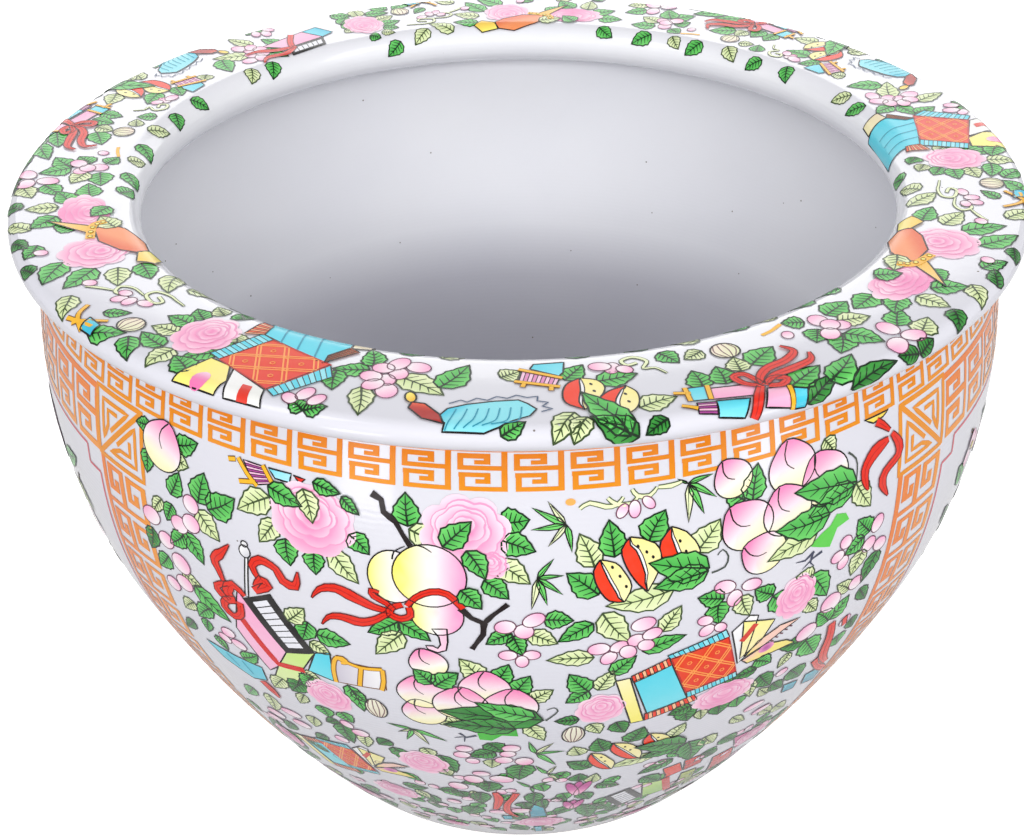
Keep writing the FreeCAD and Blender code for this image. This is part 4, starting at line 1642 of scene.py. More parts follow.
    def draw_foot(self, area: Field) -> None:
        """Leaves and berries low on the flank, in loose rows under the other motifs.

        Args:
            area: the field to draw in.
        """
        for kind, width, length, heights, azimuths in self.foot_rows:
            for row, h in enumerate(heights):
                for az in azimuths[row % 2 :: 2]:
                    shift = self.foot_sway * wobble(az, h)
                    tip = (az + self.foot_lean * shift, max(h - length + shift, self.foot_lowest), width)
                    area.leaves(((kind, (az, h, *tip)),), self.foot_level)
        heights, azimuths, a, b = self.foot_berries
        apart, drift = self.pair_shift
        for row, h in enumerate(heights):
            for az in azimuths[row % 2 :: 2]:
                shift = wobble(h, az)
                beside = (az + apart + drift * shift, h - self.foot_sway * shift, b, b, 0)
                area.berries(((az, h, a, b, self.pair_turn * shift), beside), self.foot_level)

    def draw_sprigs(self, area: Field) -> None:
        """Bamboo sprigs, branches and tendrils.

        Args:
            area: the field to draw in.
        """
        area.sprig((3.9, 259), [(0.9, 265), (2.3, 267), (0.8, 257.5), (2.3, 251.5), (4.4, 249)], (1, 3))
        area.sprig((1.3, 239.8), [(2.8, 247), (3.7, 240.5), (3.6, 233), (2.2, 229), (0.8, 227.5)], (4,))
        area.sprig((15, 268), [(15, 254.5), (16.5, 256.5), (17.7, 261.5), (17.4, 269.5), (14, 270)], (0,))
        area.sprig((-11.9, 157), [(-14.7, 158.3), (-13, 146.5), (-8.3, 150), (-13.7, 152.5),
                                  (-10.5, 145)], (3, 4))
        area.sprig((1.3, 142), [(0.5, 153), (3.2, 151), (4.6, 143), (3.7, 130)], (1,))
        area.sprig((2.8, 121), [(1.3, 130), (3.8, 129), (4.9, 117), (4.4, 112.5)], (1, 3))
        area.sprig((0.8, 106), [(-1, 113.5), (3.3, 112.5), (1.2, 99)])
        for places in (
            [(-13.4, 266.8), (-12.5, 265), (-12.3, 261), (-11.2, 258), (-10.6, 254), (-9.9, 250)],
            [(-5.6, 227.5), (-4.6, 223.5), (-3.5, 221.5), (-2.7, 225), (-1.3, 229.7)],
            [(-3.5, 221.5), (-3.6, 216.5), (-4.7, 209.5)],
        ):
            area.stroke(places, (2.6, 1.7, 2.2, 1.4, 2.0), BRANCH, 5, smooth=False)
        for places in (
            [(17.4, 233.5), (18.7, 234.6), (19, 238.5), (18.4, 241.7), (17.9, 240)],
            [(32.2, 262), (33.2, 258.5), (33.4, 254), (33.3, 250)],
            [(2.2, 168.8), (2.8, 171.5), (3.4, 175), (3, 177.3), (2.3, 176)],
        ):
            area.stroke(places, (0.8, 0.6, 0.4), (70, 78, 72), 3, kind=Kind.LEAVES)
        for places in (
            [(28.6, 228.5), (27.6, 226), (26.5, 226.6)], [(29.6, 227), (28.5, 225.6), (27.4, 222.5)],
            [(28.4, 228), (28.3, 224), (28.8, 222)], [(-6.8, 158), (-6.2, 155.5), (-7.4, 154)],
            [(-5, 157), (-6.3, 154.5), (-6.4, 151)],
        ):
            area.stroke(places, (1.2, 0.8, 0.3), (62, 66, 88), 1, smooth=False, kind=Kind.LEAVES)
        blot = [(27.9, 231.6), (29.3, 235), (30.3, 236.7), (31, 240.4), (32.2, 239), (32.7, 235.8),
                (31.2, 234.5), (30.5, 227.6), (29.3, 229.2)]
        area.patch(blot, BRIGHT.value[0], level=2, kind=Kind.LEAVES)
        low = [(-6, 165), (-4.9, 160), (-4.7, 154), (-3.4, 153.5), (-2.3, 158), (-0.6, 157.5), (-0.8, 163.5)]
        area.patch(low, (70, 196, 52), (52, 176, 44), level=2, kind=Kind.LEAVES)

    def draw_gourd(self, area: Field) -> None:
        """The tied gourd on its branch.

        Args:
            area: the field to draw in.
        """
        tail = [(-6.9, 218), (-6.9, 212), (-7.1, 208), (-7.9, 206.6), (-8.8, 207.8), (-9, 209.4),
                (-8.3, 209.6), (-7.9, 208.6)]
        tail += [(-7.6, 210.5), (-7.7, 214), (-8.3, 217.5)]
        area.shape(tail, (250, 196, 220), (252, 214, 232), level=2, kind=Kind.FRUITS)
        for spot, a, b, first, last, level in (
            ((-7.75, 223.6), 8.6, 8.6, -0.9, 0.75, 3),
            ((-11.6, 237.4), 8.4, 10.2, -1.0, 1.3, 3),
            ((-8.3, 239.2), 11.8, 12, -0.75, 0.9, 6),
        ):
            tones = (YELLOW, (255, 250, 205), WHITE, (253, 205, 226), (248, 158, 204))
            area.disc(Kind.FRUITS, spot, (a, b), Tint(tones, (a * first, 0), (a * last, 0)), level, 32,
                      width=0.5)
        for places in (
            [(-11.6, 244.5), (-11.4, 247.5), (-10.4, 249.8)], [(-9.4, 250.8), (-8.7, 250.2), (-8, 248.6)],
        ):
            area.stroke(places, (0.6, 0.5, 0.3), INK, 9, kind=Kind.FRUITS)

    def draw_box(self, area: Field) -> None:
        """The two scholars' boxes with their slotted faces, and what lies by the first.

        Args:
            area: the field to draw in.
        """
        area.shapes(
            (0, PINK, SOFT_PINK, (-28.4, 214.5), (-27.8, 211), (-24.1, 189.5), (-25.9, 178),
             (-27.3, 173), (-29.9, 193)),
            (0, LIME, (224, 242, 170), (-24.1, 189.5), (-20.7, 194), (-22.9, 180.5), (-24.2, 169.5),
             (-27.3, 167.5), (-25.9, 178)),
        )
        area.stroke([(-28.8, 200.5), (-27.4, 191), (-25.7, 180), (-22.5, 181.8)], 3.0, (214, 22, 18), 3,
                    smooth=False)
        area.slots(8, (-27.8, 211.5), (-24.4, 218.3), (-20.6, 194.3), (-24.1, 189.5))
        rod = [(-26.75, 231), (-26.4, 231), (-27.1, 213), (-27.5, 213)]
        area.shape(rod, WHITE, (222, 222, 230))
        knob = Tint((WHITE, (200, 200, 210)), (-1, 1), (2, -2))
        for spot, sizes in (((-26.7, 233.6), (2.2, 2.6)), ((-26.65, 236.7), (1.3, 1.2))):
            area.disc(Kind.EMBLEMS, spot, sizes, knob, 1, 14, width=0.5)
        area.shapes((1, TURQUOISE, (120, 226, 240), (-20.6, 194.5), (-18.9, 196.8), (-19.2, 180.3),
                     (-22, 182.6)))
        pen, points = area.about(Kind.EMBLEMS, [(-18.7, 194), (-13.5, 193.5), (-13.6, 182),
                                                (-18.9, 180.5)], 1)
        pen.shape(points, Tint(((206, 200, 214), WHITE), points[0], points[1]), 0, BROWN, 0.5)
        area.rods([
            [(-19, 180.3), (-18.9, 188), (-18.4, 194.5), (-17.6, 195.8), (-17.2, 193.6), (-17.9, 193)],
            [(-16.4, 181.5), (-16.1, 187), (-15.8, 192.5)],
            [(-14.1, 181.3), (-13.7, 187), (-13.6, 193.6)],
            [(-18.4, 195.6), (-16, 192.6), (-13.6, 193.8)],
        ], 1.4, 3)
        area.slots(6, (11.4, 82), (14.9, 89), (18.6, 69), (15, 61))
        area.stroke([(20.3, 89), (21.6, 77), (23, 65.5)], 3.4, (206, 26, 20), 3, smooth=False)
        area.shapes(
            (0, LIME, (150, 200, 90), (16.6, 91), (20, 87), (22.6, 67), (18.6, 66)),
            (0, ORANGE, RED, (18.6, 103.5), (21, 105), (22.6, 92), (20.2, 89.5)),
            (0, RED, DARK_RED, (21.6, 105.5), (24.8, 106), (25.4, 93), (22.8, 91.5)),
            (0, (176, 190, 70), (120, 140, 50), (23, 87), (25.6, 86), (27.4, 66), (24.6, 64.5)),
            (0, RED, DARK_RED, (27.6, 92), (31, 93), (34.6, 70), (30.6, 65)),
        )

    def draw_books(self, area: Field) -> None:
        """The two book wraps with their cards and feathers.

        Args:
            area: the field to draw in.
        """
        stripe = ((238, 54, 18), (255, 196, 150))
        first_az, first_h = self.wrap_base
        for base, k in ((self.wrap_base, 1.0), ((-30.2, 109), 0.9)):
            shift = (base[0] - first_az * k, base[1] - first_h)

            def at(az: float, h: float) -> Spot:
                """The place here of a place by the first wrap."""
                return first_az * k + (az - first_az) * k + shift[0], first_h + (h - first_h) * k + shift[1]

            ribbed = (TURQUOISE, (150, 230, 242))
            area.shapes(
                (2, CREAM, YELLOW, at(8.9, 190), at(10.3, 190.6), at(12.6, 161), at(11.2, 160.6)),
                (2, TURQUOISE, (126, 226, 240), at(10.7, 188.5), at(14.4, 194), at(16.9, 171),
                 at(12.8, 165.4)),
            )
            area.stripes(3, stripe, 11, at(10.4, 191.6), at(14, 198), at(14.4, 194), at(10.7, 187.6))
            area.stripes(3, stripe, 13, at(12.5, 166), at(17.6, 172.2), at(18.2, 168), at(12.7, 161))
            area.lattice(4, at(14.2, 197.5), at(20, 201.7), at(21.9, 179.5), at(16.6, 175))
            area.stripes(4, ribbed, 12, at(13.8, 199.4), at(19.6, 205.8), at(20.1, 201.6), at(14.2, 197.2))
            area.stripes(4, ribbed, 12, at(16.6, 175.4), at(21.9, 179.8), at(22.2, 176.4), at(16.9, 171.4))
            back = [at(20.3, 203.6), at(22, 209.4), at(23, 208), at(22.4, 187), at(21.8, 184.4)]
            area.shape(back, WHITE, (236, 236, 240), level=1)
            card = [at(21.4, 207.3), at(25.1, 203), at(24, 194), at(21.9, 187)]
            area.shape(card, (255, 246, 150), (250, 240, 190), level=2)
            area.patch([at(22.6, 204.6), at(23.2, 203.6), at(21.9, 196.4), at(21.3, 197.6)],
                       (214, 60, 46), level=4)
            self.draw_feather(area, at)

    def draw_feather(self, area: Field, at: Callable[[float, float], Spot]) -> None:
        """A petalled feather by a book wrap.

        Args:
            area: the field.
            at: gives the place in this field of a place by the first book wrap.
        """
        upper = [at(22.4, 187), at(23.6, 194), at(26, 198.5), at(28.4, 198.2), at(26.5, 195), at(24.6, 190.6)]
        lower = [at(22.2, 185.5), at(24.8, 190.5), at(27.4, 188), at(28.6, 184.5), at(25.5, 183.6),
                 at(23, 182.6)]
        area.shape(upper, YELLOW, (250, 206, 190), level=3)
        area.shape(lower, (250, 190, 200), (250, 232, 130), level=3)
        pen = area.pen(Kind.EMBLEMS, *at(24.9, 188.4), 0, 5)
        pen.fill(oval(3.2, 2.2, 20, 12), Tint((PURPLE, PINK), (0, 0), (3.4, 0), True), 0, 1.2)
        for i in range(self.barbs):
            along, rise = (i * step for step in self.barb_step)
            barb = [at(25.2 + along, 191.6 + rise), at(25.6 + along, 190.8 + rise)]
            area.stroke(barb, 0.6, (96, 40, 60), 5)

    def draw_ribbons(self, area: Field) -> None:
        """Bows and streamers.

        Args:
            area: the field to draw in.
        """
        area.ribbons((
            ([(-10.5, 226.5), (-9.6, 230.5), (-8.2, 233.4), (-6.7, 233), (-5.3, 227.5)], (1.8, 2.6, 2.4)),
            ([(-11.7, 224), (-12.4, 226.5), (-13.5, 228.6), (-13.8, 231), (-13, 230.6)], (1.8, 2.4, 1.2)),
            ([(-10.3, 226), (-10.2, 222.6), (-11.1, 220.6), (-12.1, 222), (-11.9, 225), (-10.9, 226.8)],
             (2.2, 2.8, 2.2)),
            ([(-12.2, 223.3), (-13.6, 224), (-15.4, 226.6), (-17.3, 229), (-18.9, 227), (-19.8, 222.4)],
             (2, 3.4, 4.4, 3, 0.4)),
            ([(-12.2, 222.8), (-13.4, 219), (-15, 216.2), (-17, 216.9), (-18.3, 215.4), (-19.1, 211.2)],
             (2, 3, 4, 2.6, 0.4)),
            ([(-28.5, 234), (-29.5, 229.6), (-30.6, 225), (-30.3, 221), (-29.9, 216)], (0.6, 4, 3.4, 1.8)),
            ([(-27.5, 213), (-28.8, 216.3), (-29.7, 212), (-29.3, 208.4)], (2, 4.6, 4)),
            ([(-29.6, 215.6), (-31, 212.4), (-30.6, 209), (-29.6, 207)], (2, 3.4, 3)),
            ([(-28.4, 208.5), (-28.6, 202.5), (-29.6, 199.6), (-30.6, 202.6), (-30.2, 206.6),
              (-28.9, 208.8)], (3, 3.2, 3.4)),
            ([(-26.2, 217.5), (-25.4, 219.5), (-24.5, 222), (-25.2, 224), (-26, 219.6)], (3, 4, 2)),
            ([(-25.4, 223.8), (-26, 228.6), (-25, 232.4), (-23.3, 230.6), (-22.7, 226.4), (-21.4, 225.6),
              (-21, 232)], (2, 3.6, 3, 4, 0.5)),
            ([(36, 268), (36.8, 266), (37.9, 262.5)], (3, 2.6, 1.4)),
            ([(37.7, 259.6), (35.7, 257.5), (34.4, 252.5), (34.6, 247), (35, 244)], (2, 5.5, 4.4, 3, 0.6)),
            ([(38.2, 261), (39.3, 255.5), (39.2, 251.2), (37.4, 247.8), (37, 243.4), (38, 237)],
             (2, 4, 3.4, 4, 0.6)),
            ([(-29.6, 160.5), (-28.9, 156), (-28.4, 150.6)], (3.6, 4.4, 1)),
            ([(33.8, 184), (34.5, 175), (35, 165), (36, 156), (37.6, 149)], (3.4, 4, 5, 4.4, 3)),
            ([(35.9, 182.5), (36.4, 177)], (2.6, 2.2)),
            ([(-3.9, 99), (-3.5, 91.5), (-3.8, 83), (-4.3, 75)], (2.4, 3.8, 3.4, 2)),
            ([(-1.1, 98.5), (-1.6, 92), (-2.4, 84), (-2.6, 74), (-2, 67.5), (-1, 62.5)], (3, 2.6, 3, 3, 1)),
            ([(34.2, 159.5), (36.2, 150), (38.7, 141)], (3, 3.6, 3)),
        ), 7)

    def draw_small_things(self, area: Field) -> None:
        """Clouds, little instruments, buds, fans and lotus flowers.

        Args:
            area: the field to draw in.
        """
        area.stripes(2, ((250, 196, 226), PURPLE), 9, (-26.3, 268.3), (-25.2, 260.6), (-23.3, 262.8),
                     (-24.1, 268))
        area.rods([
            [(-26.9, 268.5), (-25.9, 264), (-24.8, 260.6)],
            [(-24.2, 268.4), (-23.6, 265.3), (-23.1, 262.8)],
            [(-26.8, 260.4), (-25, 261.9)], [(-28, 267), (-27.2, 267.7)],
        ], 1.3, 3)
        area.shapes(
            (0, TURQUOISE, (170, 234, 246), (-23.6, 268), (-21.2, 268), (-21.4, 264.8), (-22.9, 265)),
            (0, RED, RED, (-21, 267.6), (-19.8, 267.2), (-20.3, 265.4)),
        )
        pen = area.pen(Kind.EMBLEMS, 4.3, 266.4, 0, 1)
        pen.fill(oval(1.6, 1.2, 0, 12), Tint(((244, 176, 90),)))
        cloud = [[(5.1, 264), (6, 265.7), (7.4, 264), (8.4, 264.2), (9, 266.6)],
                 [(7.6, 266.8), (8.4, 264.4), (9.8, 264.2), (10.4, 266.8)]]
        cloud += [[(9.8, 268.8), (10.3, 266.4), (11.4, 266), (12.1, 268.4)],
                  [(12.2, 268.4), (13.4, 268.2), (14.4, 269)]]
        area.curls(cloud, (0.8, 1.3, 0.6), 1)
        area.berries(((8.9, 262, 2.6, 1.7, 60), (10, 262.2, 3, 1.9, 270), (11.3, 263.8, 2.6, 1.6, 310)))
        for spot in ((-15.3, 168), (5.2, 157)):
            area.bud(spot, 8, 12.5, ((246, 244, 222), (232, 222, 200)), 2)
        fold = [(-36.4, 172), (-32, 171.6), (-28.5, 172), (-28.7, 163), (-31, 159), (-34.5, 164)]
        area.shape(fold, TURQUOISE, (96, 206, 228), level=1)
        area.stroke([(-33.6, 170), (-32.4, 164)], 0.5, DEEP_TURQUOISE, 3)
        area.stroke([(-31.4, 170), (-30.6, 163)], 0.5, DEEP_TURQUOISE, 3)
        area.shape([(34.4, 270.4), (37.8, 270), (37, 268.6), (35.6, 268)], YELLOW, (250, 220, 90),
                   level=1, kind=Kind.FRUITS)
        for az, h, wide, high in ((7, 101, 8, 17), (7, 78.5, 7, 13)):
            across, up, middle = self.lotus_shares
            tint = Tint(((196, 60, 150), PINK, PALE_PINK), (0, high * middle), (0, -high * up))
            for dx, turn, level in self.lotus_petals:
                pen = area.pen(Kind.FLOWERS, az, h, turn, level)
                pen.shape(oval(wide * across, high * up, 0, 16, dx * wide), tint, 0, MAUVE, 0.4)
        for places in (
            [(31, 149.5), (33.4, 147), (33.8, 139.5), (31.6, 142)],
            [(34.6, 147.5), (38.2, 145), (38.4, 133), (35.4, 138)],
            [(1.3, 82), (2.8, 78), (3.5, 62.5), (0.9, 61.5), (0.7, 72)],
            [(-3.6, 63.5), (-2, 63), (-1.9, 57), (-3.3, 56.6)],
            [(1.6, 40), (3, 40.5), (3.4, 28), (2, 27.5)],
        ):
            area.shape(places, (70, 196, 216), (40, 150, 176), level=2)
        area.shapes((1, (214, 96, 160), (186, 60, 120), (28.6, 110), (31.6, 108), (36.5, 90), (32, 88.5)))


@dataclass(frozen=True)
class RimGround:
    """A third of the flowered rim. Places are azimuths and ways in from the lip."""

    spins: tuple = (0.0, 119.0, -119.0)
    over_level: float = 9.0
    barbs: int = 7
    barb_way: tuple = (((-5.6, 14.4), (0.95, 0.3)), ((-5.9, 9), (0.95, 0)), ((-6.2, 4.6), (0.75, 0.5)))
    crease_shifts: tuple[float, ...] = (0.0, 2.4, 4.8)
    crease_rise: float = 0.6
    leaves: tuple = (
        (GREEN,
        (-54, 41, -50, 39, 8), (-55.5, 26, -53, 13, 9), (-58.5, 18, -55, 8, 9), (-43.6, 4.5, -41, 12, 8),
        (-40, 12, -37.6, 4.5, 7), (-36, 15, -39.4, 16.5, 7), (-37, 35, -39.3, 38, 7),
        (-37.2, 30, -40.3, 29, 7), (-33.5, 43, -35, 46, 7), (-30.9, 23, -33.6, 29.5, 8),
        (-31, 22, -32.9, 13.5, 7), (-30.9, 8.5, -33.6, 12.5, 8), (-18.5, 5.5, -20.1, 8.5, 5),
        (-18.4, 5.5, -16.8, 8.5, 5), (-15.3, 34.5, -16.6, 43.5, 7), (-15.4, 32.5, -18.7, 30, 7),
        (-18.5, 29, -17.5, 19, 7), (-7.8, 26, -5.7, 39, 9), (-1.6, 3.5, 0.2, 8, 5), (4.4, 31, 6.4, 38.8, 7),
        (7.4, 29, 11.3, 31, 8), (15.2, 41.5, 16.4, 34.5, 7), (33, 37, 31, 40.5, 7), (33, 31, 31.2, 25.5, 8),
        (36, 36, 39.8, 37.5, 9), (34.3, 24.5, 31.7, 16.5, 9), (34.5, 24, 36, 13.5, 9),
        (39.5, 16, 42.3, 21.8, 8), (24, 8, 27.9, 13.2, 8), (27.6, 5.5, 31.6, 12.6, 8),
        (22.9, 24, 26.4, 29.8, 9), (16.8, 17.5, 17, 26.8, 8), (19, 17, 19.5, 26.4, 8),
        (-75.5, 34, -79.2, 33, 9), (-74, 26.5, -77.2, 22, 8), (-70.5, 21.5, -68.3, 12.5, 9),
        (-66.2, 27, -68, 20.5, 7), (-63.6, 12.5, -61.2, 7, 7), (-76.4, 45, -79, 50, 7),
        (-38.6, 50, -36, 56, 7), (25.6, 45, 27.6, 53, 8), (35.5, 46, 38.4, 52, 8),
        (-13.2, 44.5, -11.4, 52.5, 7), (7.2, 45, 5.6, 52.5, 7), (12.6, 46.5, 14.6, 53, 7),
        (-45.8, 15, -44, 21, 5),
        ),
        (DEEP,
        (-57.6, 6.5, -59.8, 3.5, 6), (38, 2.5, 35.8, 4.5, 6), (38.2, 2, 40.2, 4.2, 6),
        (24.9, 1, 28.1, 6.5, 6), (29.5, 1, 34.6, 3.5, 6), (-73.2, 9, -74.8, 2, 7),
        (-65.8, 4, -63.4, 8.5, 6), (12.2, 5.5, 10.4, 2, 5),
        ),
        (PALE,
        (-54.4, 33, -50.6, 28, 8), (-50.9, 12, -48.2, 4, 7), (-49, 48, -45.5, 39, 8),
        (-37, 24, -39.8, 21.5, 7), (-36, 41, -38, 43.5, 6), (-30.6, 30, -32, 34, 6),
        (-34.8, 16, -35, 5.5, 8), (-12.2, 30.5, -7.6, 22.8, 9), (-15, 22, -13.8, 8.5, 7),
        (-2, 33.5, -0.2, 37, 7), (4.6, 12.5, 2.8, 2, 7), (5.6, 9.5, 4.4, 1.5, 6), (10.3, 12, 13.6, 15, 8),
        (19.7, 38, 17.5, 35.3, 6), (36, 31, 38.9, 26.5, 8), (39.8, 8, 42.6, 12, 8), (21.4, 22, 22, 29.5, 7),
        (-73, 22.5, -73, 11.5, 8), (-67.5, 11.5, -69.9, 3.5, 7), (-44.4, 44, -41.6, 52, 7),
        (20.6, 44, 18, 51, 7), (31.5, 45, 29.6, 51, 6), (-8.6, 44, -6.6, 51, 7),
        ),
    )
    over_leaves: tuple = (
        (GREEN,
        (8.9, 2, 6, 21, 9), (-71.5, 41, -69.4, 34.5, 8),
        ),
        (DEEP,
        (9.6, 1.5, 6.2, 8.5, 8),
        ),
        (PALE,
        (-65, 41, -68.6, 37.5, 8),
        ),
    )
    melons: tuple = (
        (4, ((5.9, 31.5), (4.5, 28.5), (3.9, 23), (4.1, 17.5), (5.6, 13.4)),
         ((7.5, 29.5), (8, 25), (7.3, 20)), ((6.8, 27.5), (6.9, 23.4))),
        (6, ((10, 24.6), (8.2, 22.5), (7, 18), (7.2, 13.5), (8.6, 8.4)),
         ((10.7, 20.5), (10.5, 15), (9.8, 11)), ((9.6, 20), (9.6, 15.6), (9, 11.6))),
    )
    berries: tuple = (
        (-47.3, 23.5, 3, 2.2, 250), (-46.1, 25, 3, 2.2, 280), (-44.6, 28.3, 3, 2.1, 20),
        (-48, 27, 2.6, 2, 200), (-19.3, 13.2, 3.8, 2.5, 80), (-17.9, 11, 3.4, 2.3, 70),
        (-20.3, 9.5, 3.2, 2.2, 140), (-12.8, 37.5, 4.2, 3, 60), (-10.6, 36.8, 4, 3, 350),
        (-14.1, 34, 3.6, 3, 180), (-12.3, 32, 3.6, 3, 300), (-14.8, 28.5, 3.6, 3, 170),
        (-13.1, 27.6, 3.4, 2.8, 300), (-14.1, 24, 3.6, 3, 230), (-12.5, 21.5, 4.2, 3.4, 290),
        (8.3, 37.3, 3.6, 2.5, 170), (9.5, 35.8, 3.4, 2.5, 250), (10.7, 34.2, 2.8, 2.2, 320),
        (34.4, 35, 3.8, 3.3, 80), (34.7, 30.6, 3.4, 3.2, 20), (35.5, 28.4, 3.4, 3, 330),
        (33.3, 26.3, 3.8, 3.2, 220), (38.4, 17, 4.4, 3.3, 80), (36.6, 8.5, 4.4, 3.3, 210),
        (39.1, 9, 4.2, 3.3, 340), (-52.4, 20.5, 2.6, 2.2, 40), (29.6, 33.6, 2.4, 2, 60),
        (-61.6, 12.5, 2.6, 2.2, 60),
    )
    peonies: tuple = (
        (-70.6, 31.5, 34, 19), (-59.4, 29.5, 25, 26), (-34.3, 28, 21, 25),
    )

    def draw(self, area: Field, with_books: bool) -> None:
        """Draws this third.

        Args:
            area: the rim's field, turned for this third.
            with_books: True for a book wrap, False for a pink box in its place.
        """
        area.leaves(self.leaves)
        area.leaves(self.over_leaves, self.over_level)
        area.berries(self.berries)
        area.peonies(self.peonies)
        self.draw_horn(area)
        self.draw_cloud(area)
        self.draw_feather(area)
        self.draw_scrolls(area)
        if with_books:
            self.draw_books(area)
        else:
            self.draw_box(area)

    def draw_horn(self, area: Field) -> None:
        """The orange vase that lies between two peonies, with its gold flower.

        Args:
            area: the field to draw in.
        """
        body = [(-57.6, 47.5), (-60.5, 49), (-64.5, 44), (-66.4, 37.5), (-65.4, 33.5), (-62, 33),
                (-58.6, 38), (-56.8, 43)]
        tail = [(-66.2, 34.5), (-64.6, 31), (-66.4, 26), (-69.4, 17.5), (-67.9, 26)]
        area.shape(tail, GOLD, (250, 206, 120), level=7)
        area.shape(body, (246, 150, 96), (232, 104, 58), level=8)
        area.shapes((9, YELLOW, (250, 210, 90), (-57.4, 47.8), (-54.4, 49.5), (-53, 45), (-54.6, 40),
                     (-57, 43)))
        area.stroke([(-67.2, 38.5), (-66.4, 33.5), (-63, 30.6)], 3.4, GOLD, 10)
        for spot in ((-67, 37.4), (-66.7, 35.2), (-65.9, 33.2), (-64.7, 31.9), (-63.5, 31)):
            area.disc(Kind.EMBLEMS, spot, (0.9, 0.9), Tint((YELLOW,)), 12, 8, 0, BROWN, 0.3)

    def draw_cloud(self, area: Field) -> None:
        """Cloud curls, a little lute and three lined buds.

        Args:
            area: the field to draw in.
        """
        area.curls([
            [(-41.2, 36.5), (-42.8, 37), (-44.4, 37.4), (-46.2, 35.6), (-46.2, 31.6), (-44.2, 30.4),
             (-43.6, 33), (-45, 34.2)],
            [(-46.4, 31), (-48.6, 31), (-49.8, 28), (-49, 24.8), (-47.8, 26.4), (-48.8, 27.8)],
            [(-49.4, 25), (-50.8, 22), (-52, 18.5)],
            [(14.6, 29), (13.8, 33), (12.6, 33.6), (13.4, 37.6), (12.2, 41), (10.8, 39.6), (11.2, 36.6),
             (12.3, 37.4)],
        ], (0.4, 1.1, 1.0), 2)
        lute = [[(-48, 13.5), (-46.8, 8), (-44.6, 4.4)], [(-46.4, 4.5), (-45, 9), (-43.8, 13)],
                [(-47.5, 5), (-44, 7.4)]]
        area.rods(lute, 1.3, 5)
        area.shapes((7, TURQUOISE, MID_TURQUOISE, (-45.6, 10), (-43.6, 9.6), (-43, 4.6), (-44.8, 4.6)))
        for spot in ((-41.7, 17), (22, 35)):
            area.bud(spot, 9.5, 9, ((250, 232, 214), (232, 238, 190)), 3)
        area.stroke([(27.3, 38), (28.8, 38.8), (30.6, 40.6)], 1.4, GOLD, 1)

    def draw_feather(self, area: Field) -> None:
        """The feather, the striped tray and the melon slices.

        Args:
            area: the field to draw in.
        """
        handle = [(-9.7, 16.6), (-8.5, 16.3), (-6.9, 11), (-6.4, 6.6), (-8.3, 8.3), (-9.8, 13.4)]
        plume = [(-7.1, 9), (-6.4, 14.5), (-4.8, 17.3), (-2.4, 19.4), (-0.2, 20.2), (0.6, 18.2),
                 (1.4, 15), (0.8, 11.4)]
        plume += [(-0.6, 9), (-1.8, 6), (-3, 4.2), (-6.4, 4.2), (-6.3, 7)]
        area.shape(plume, (64, 200, 228), PALE_TURQUOISE, level=3)
        for i in range(self.barbs):
            barb = [(az + i * along, h + i * rise) for (az, h), (along, rise) in self.barb_way]
            area.stroke(barb, 0.4, DEEP_TURQUOISE, 6)
        edge = [(-6.4, 17.4), (-5.4, 19.6), (-4.8, 18.6), (-4, 21), (-3, 20), (-2.2, 22.2), (-1.2, 21.2),
                (-0.4, 23), (0.6, 21.6), (1.6, 22.2)]
        edge += [(1.5, 19.6), (2.5, 18.6), (1.9, 16.6), (2.8, 15), (1.8, 13.6)]
        area.stroke(edge, 0.5, (70, 90, 120), 3, smooth=False)
        area.shape(handle, (240, 96, 60), (176, 32, 22), level=5)
        area.disc(Kind.EMBLEMS, (-10, 19.2), (1.7, 3), Tint((YELLOW, GOLD), (-1, 2), (1, -2)), 5, 12, 20)
        tray = [(0.2, 37.3), (3.9, 32), (3.4, 27.6), (-0.2, 30.6)]
        area.stripes(3, ((250, 200, 226), (226, 140, 190)), 9, *tray)
        area.rods([
            [(-0.2, 38), (4.2, 32)], [(-0.6, 30.8), (3.8, 27)], [(0.4, 30), (0.2, 27.4)],
            [(3, 27.6), (2.9, 25)],
        ], 1.3, 5)
        area.shapes((4, TURQUOISE, (130, 224, 240), (1, 38.2), (1.4, 41), (4.7, 41.6), (4.4, 35.6),
                     (3.9, 33.4)))
        area.melons(self.melons)

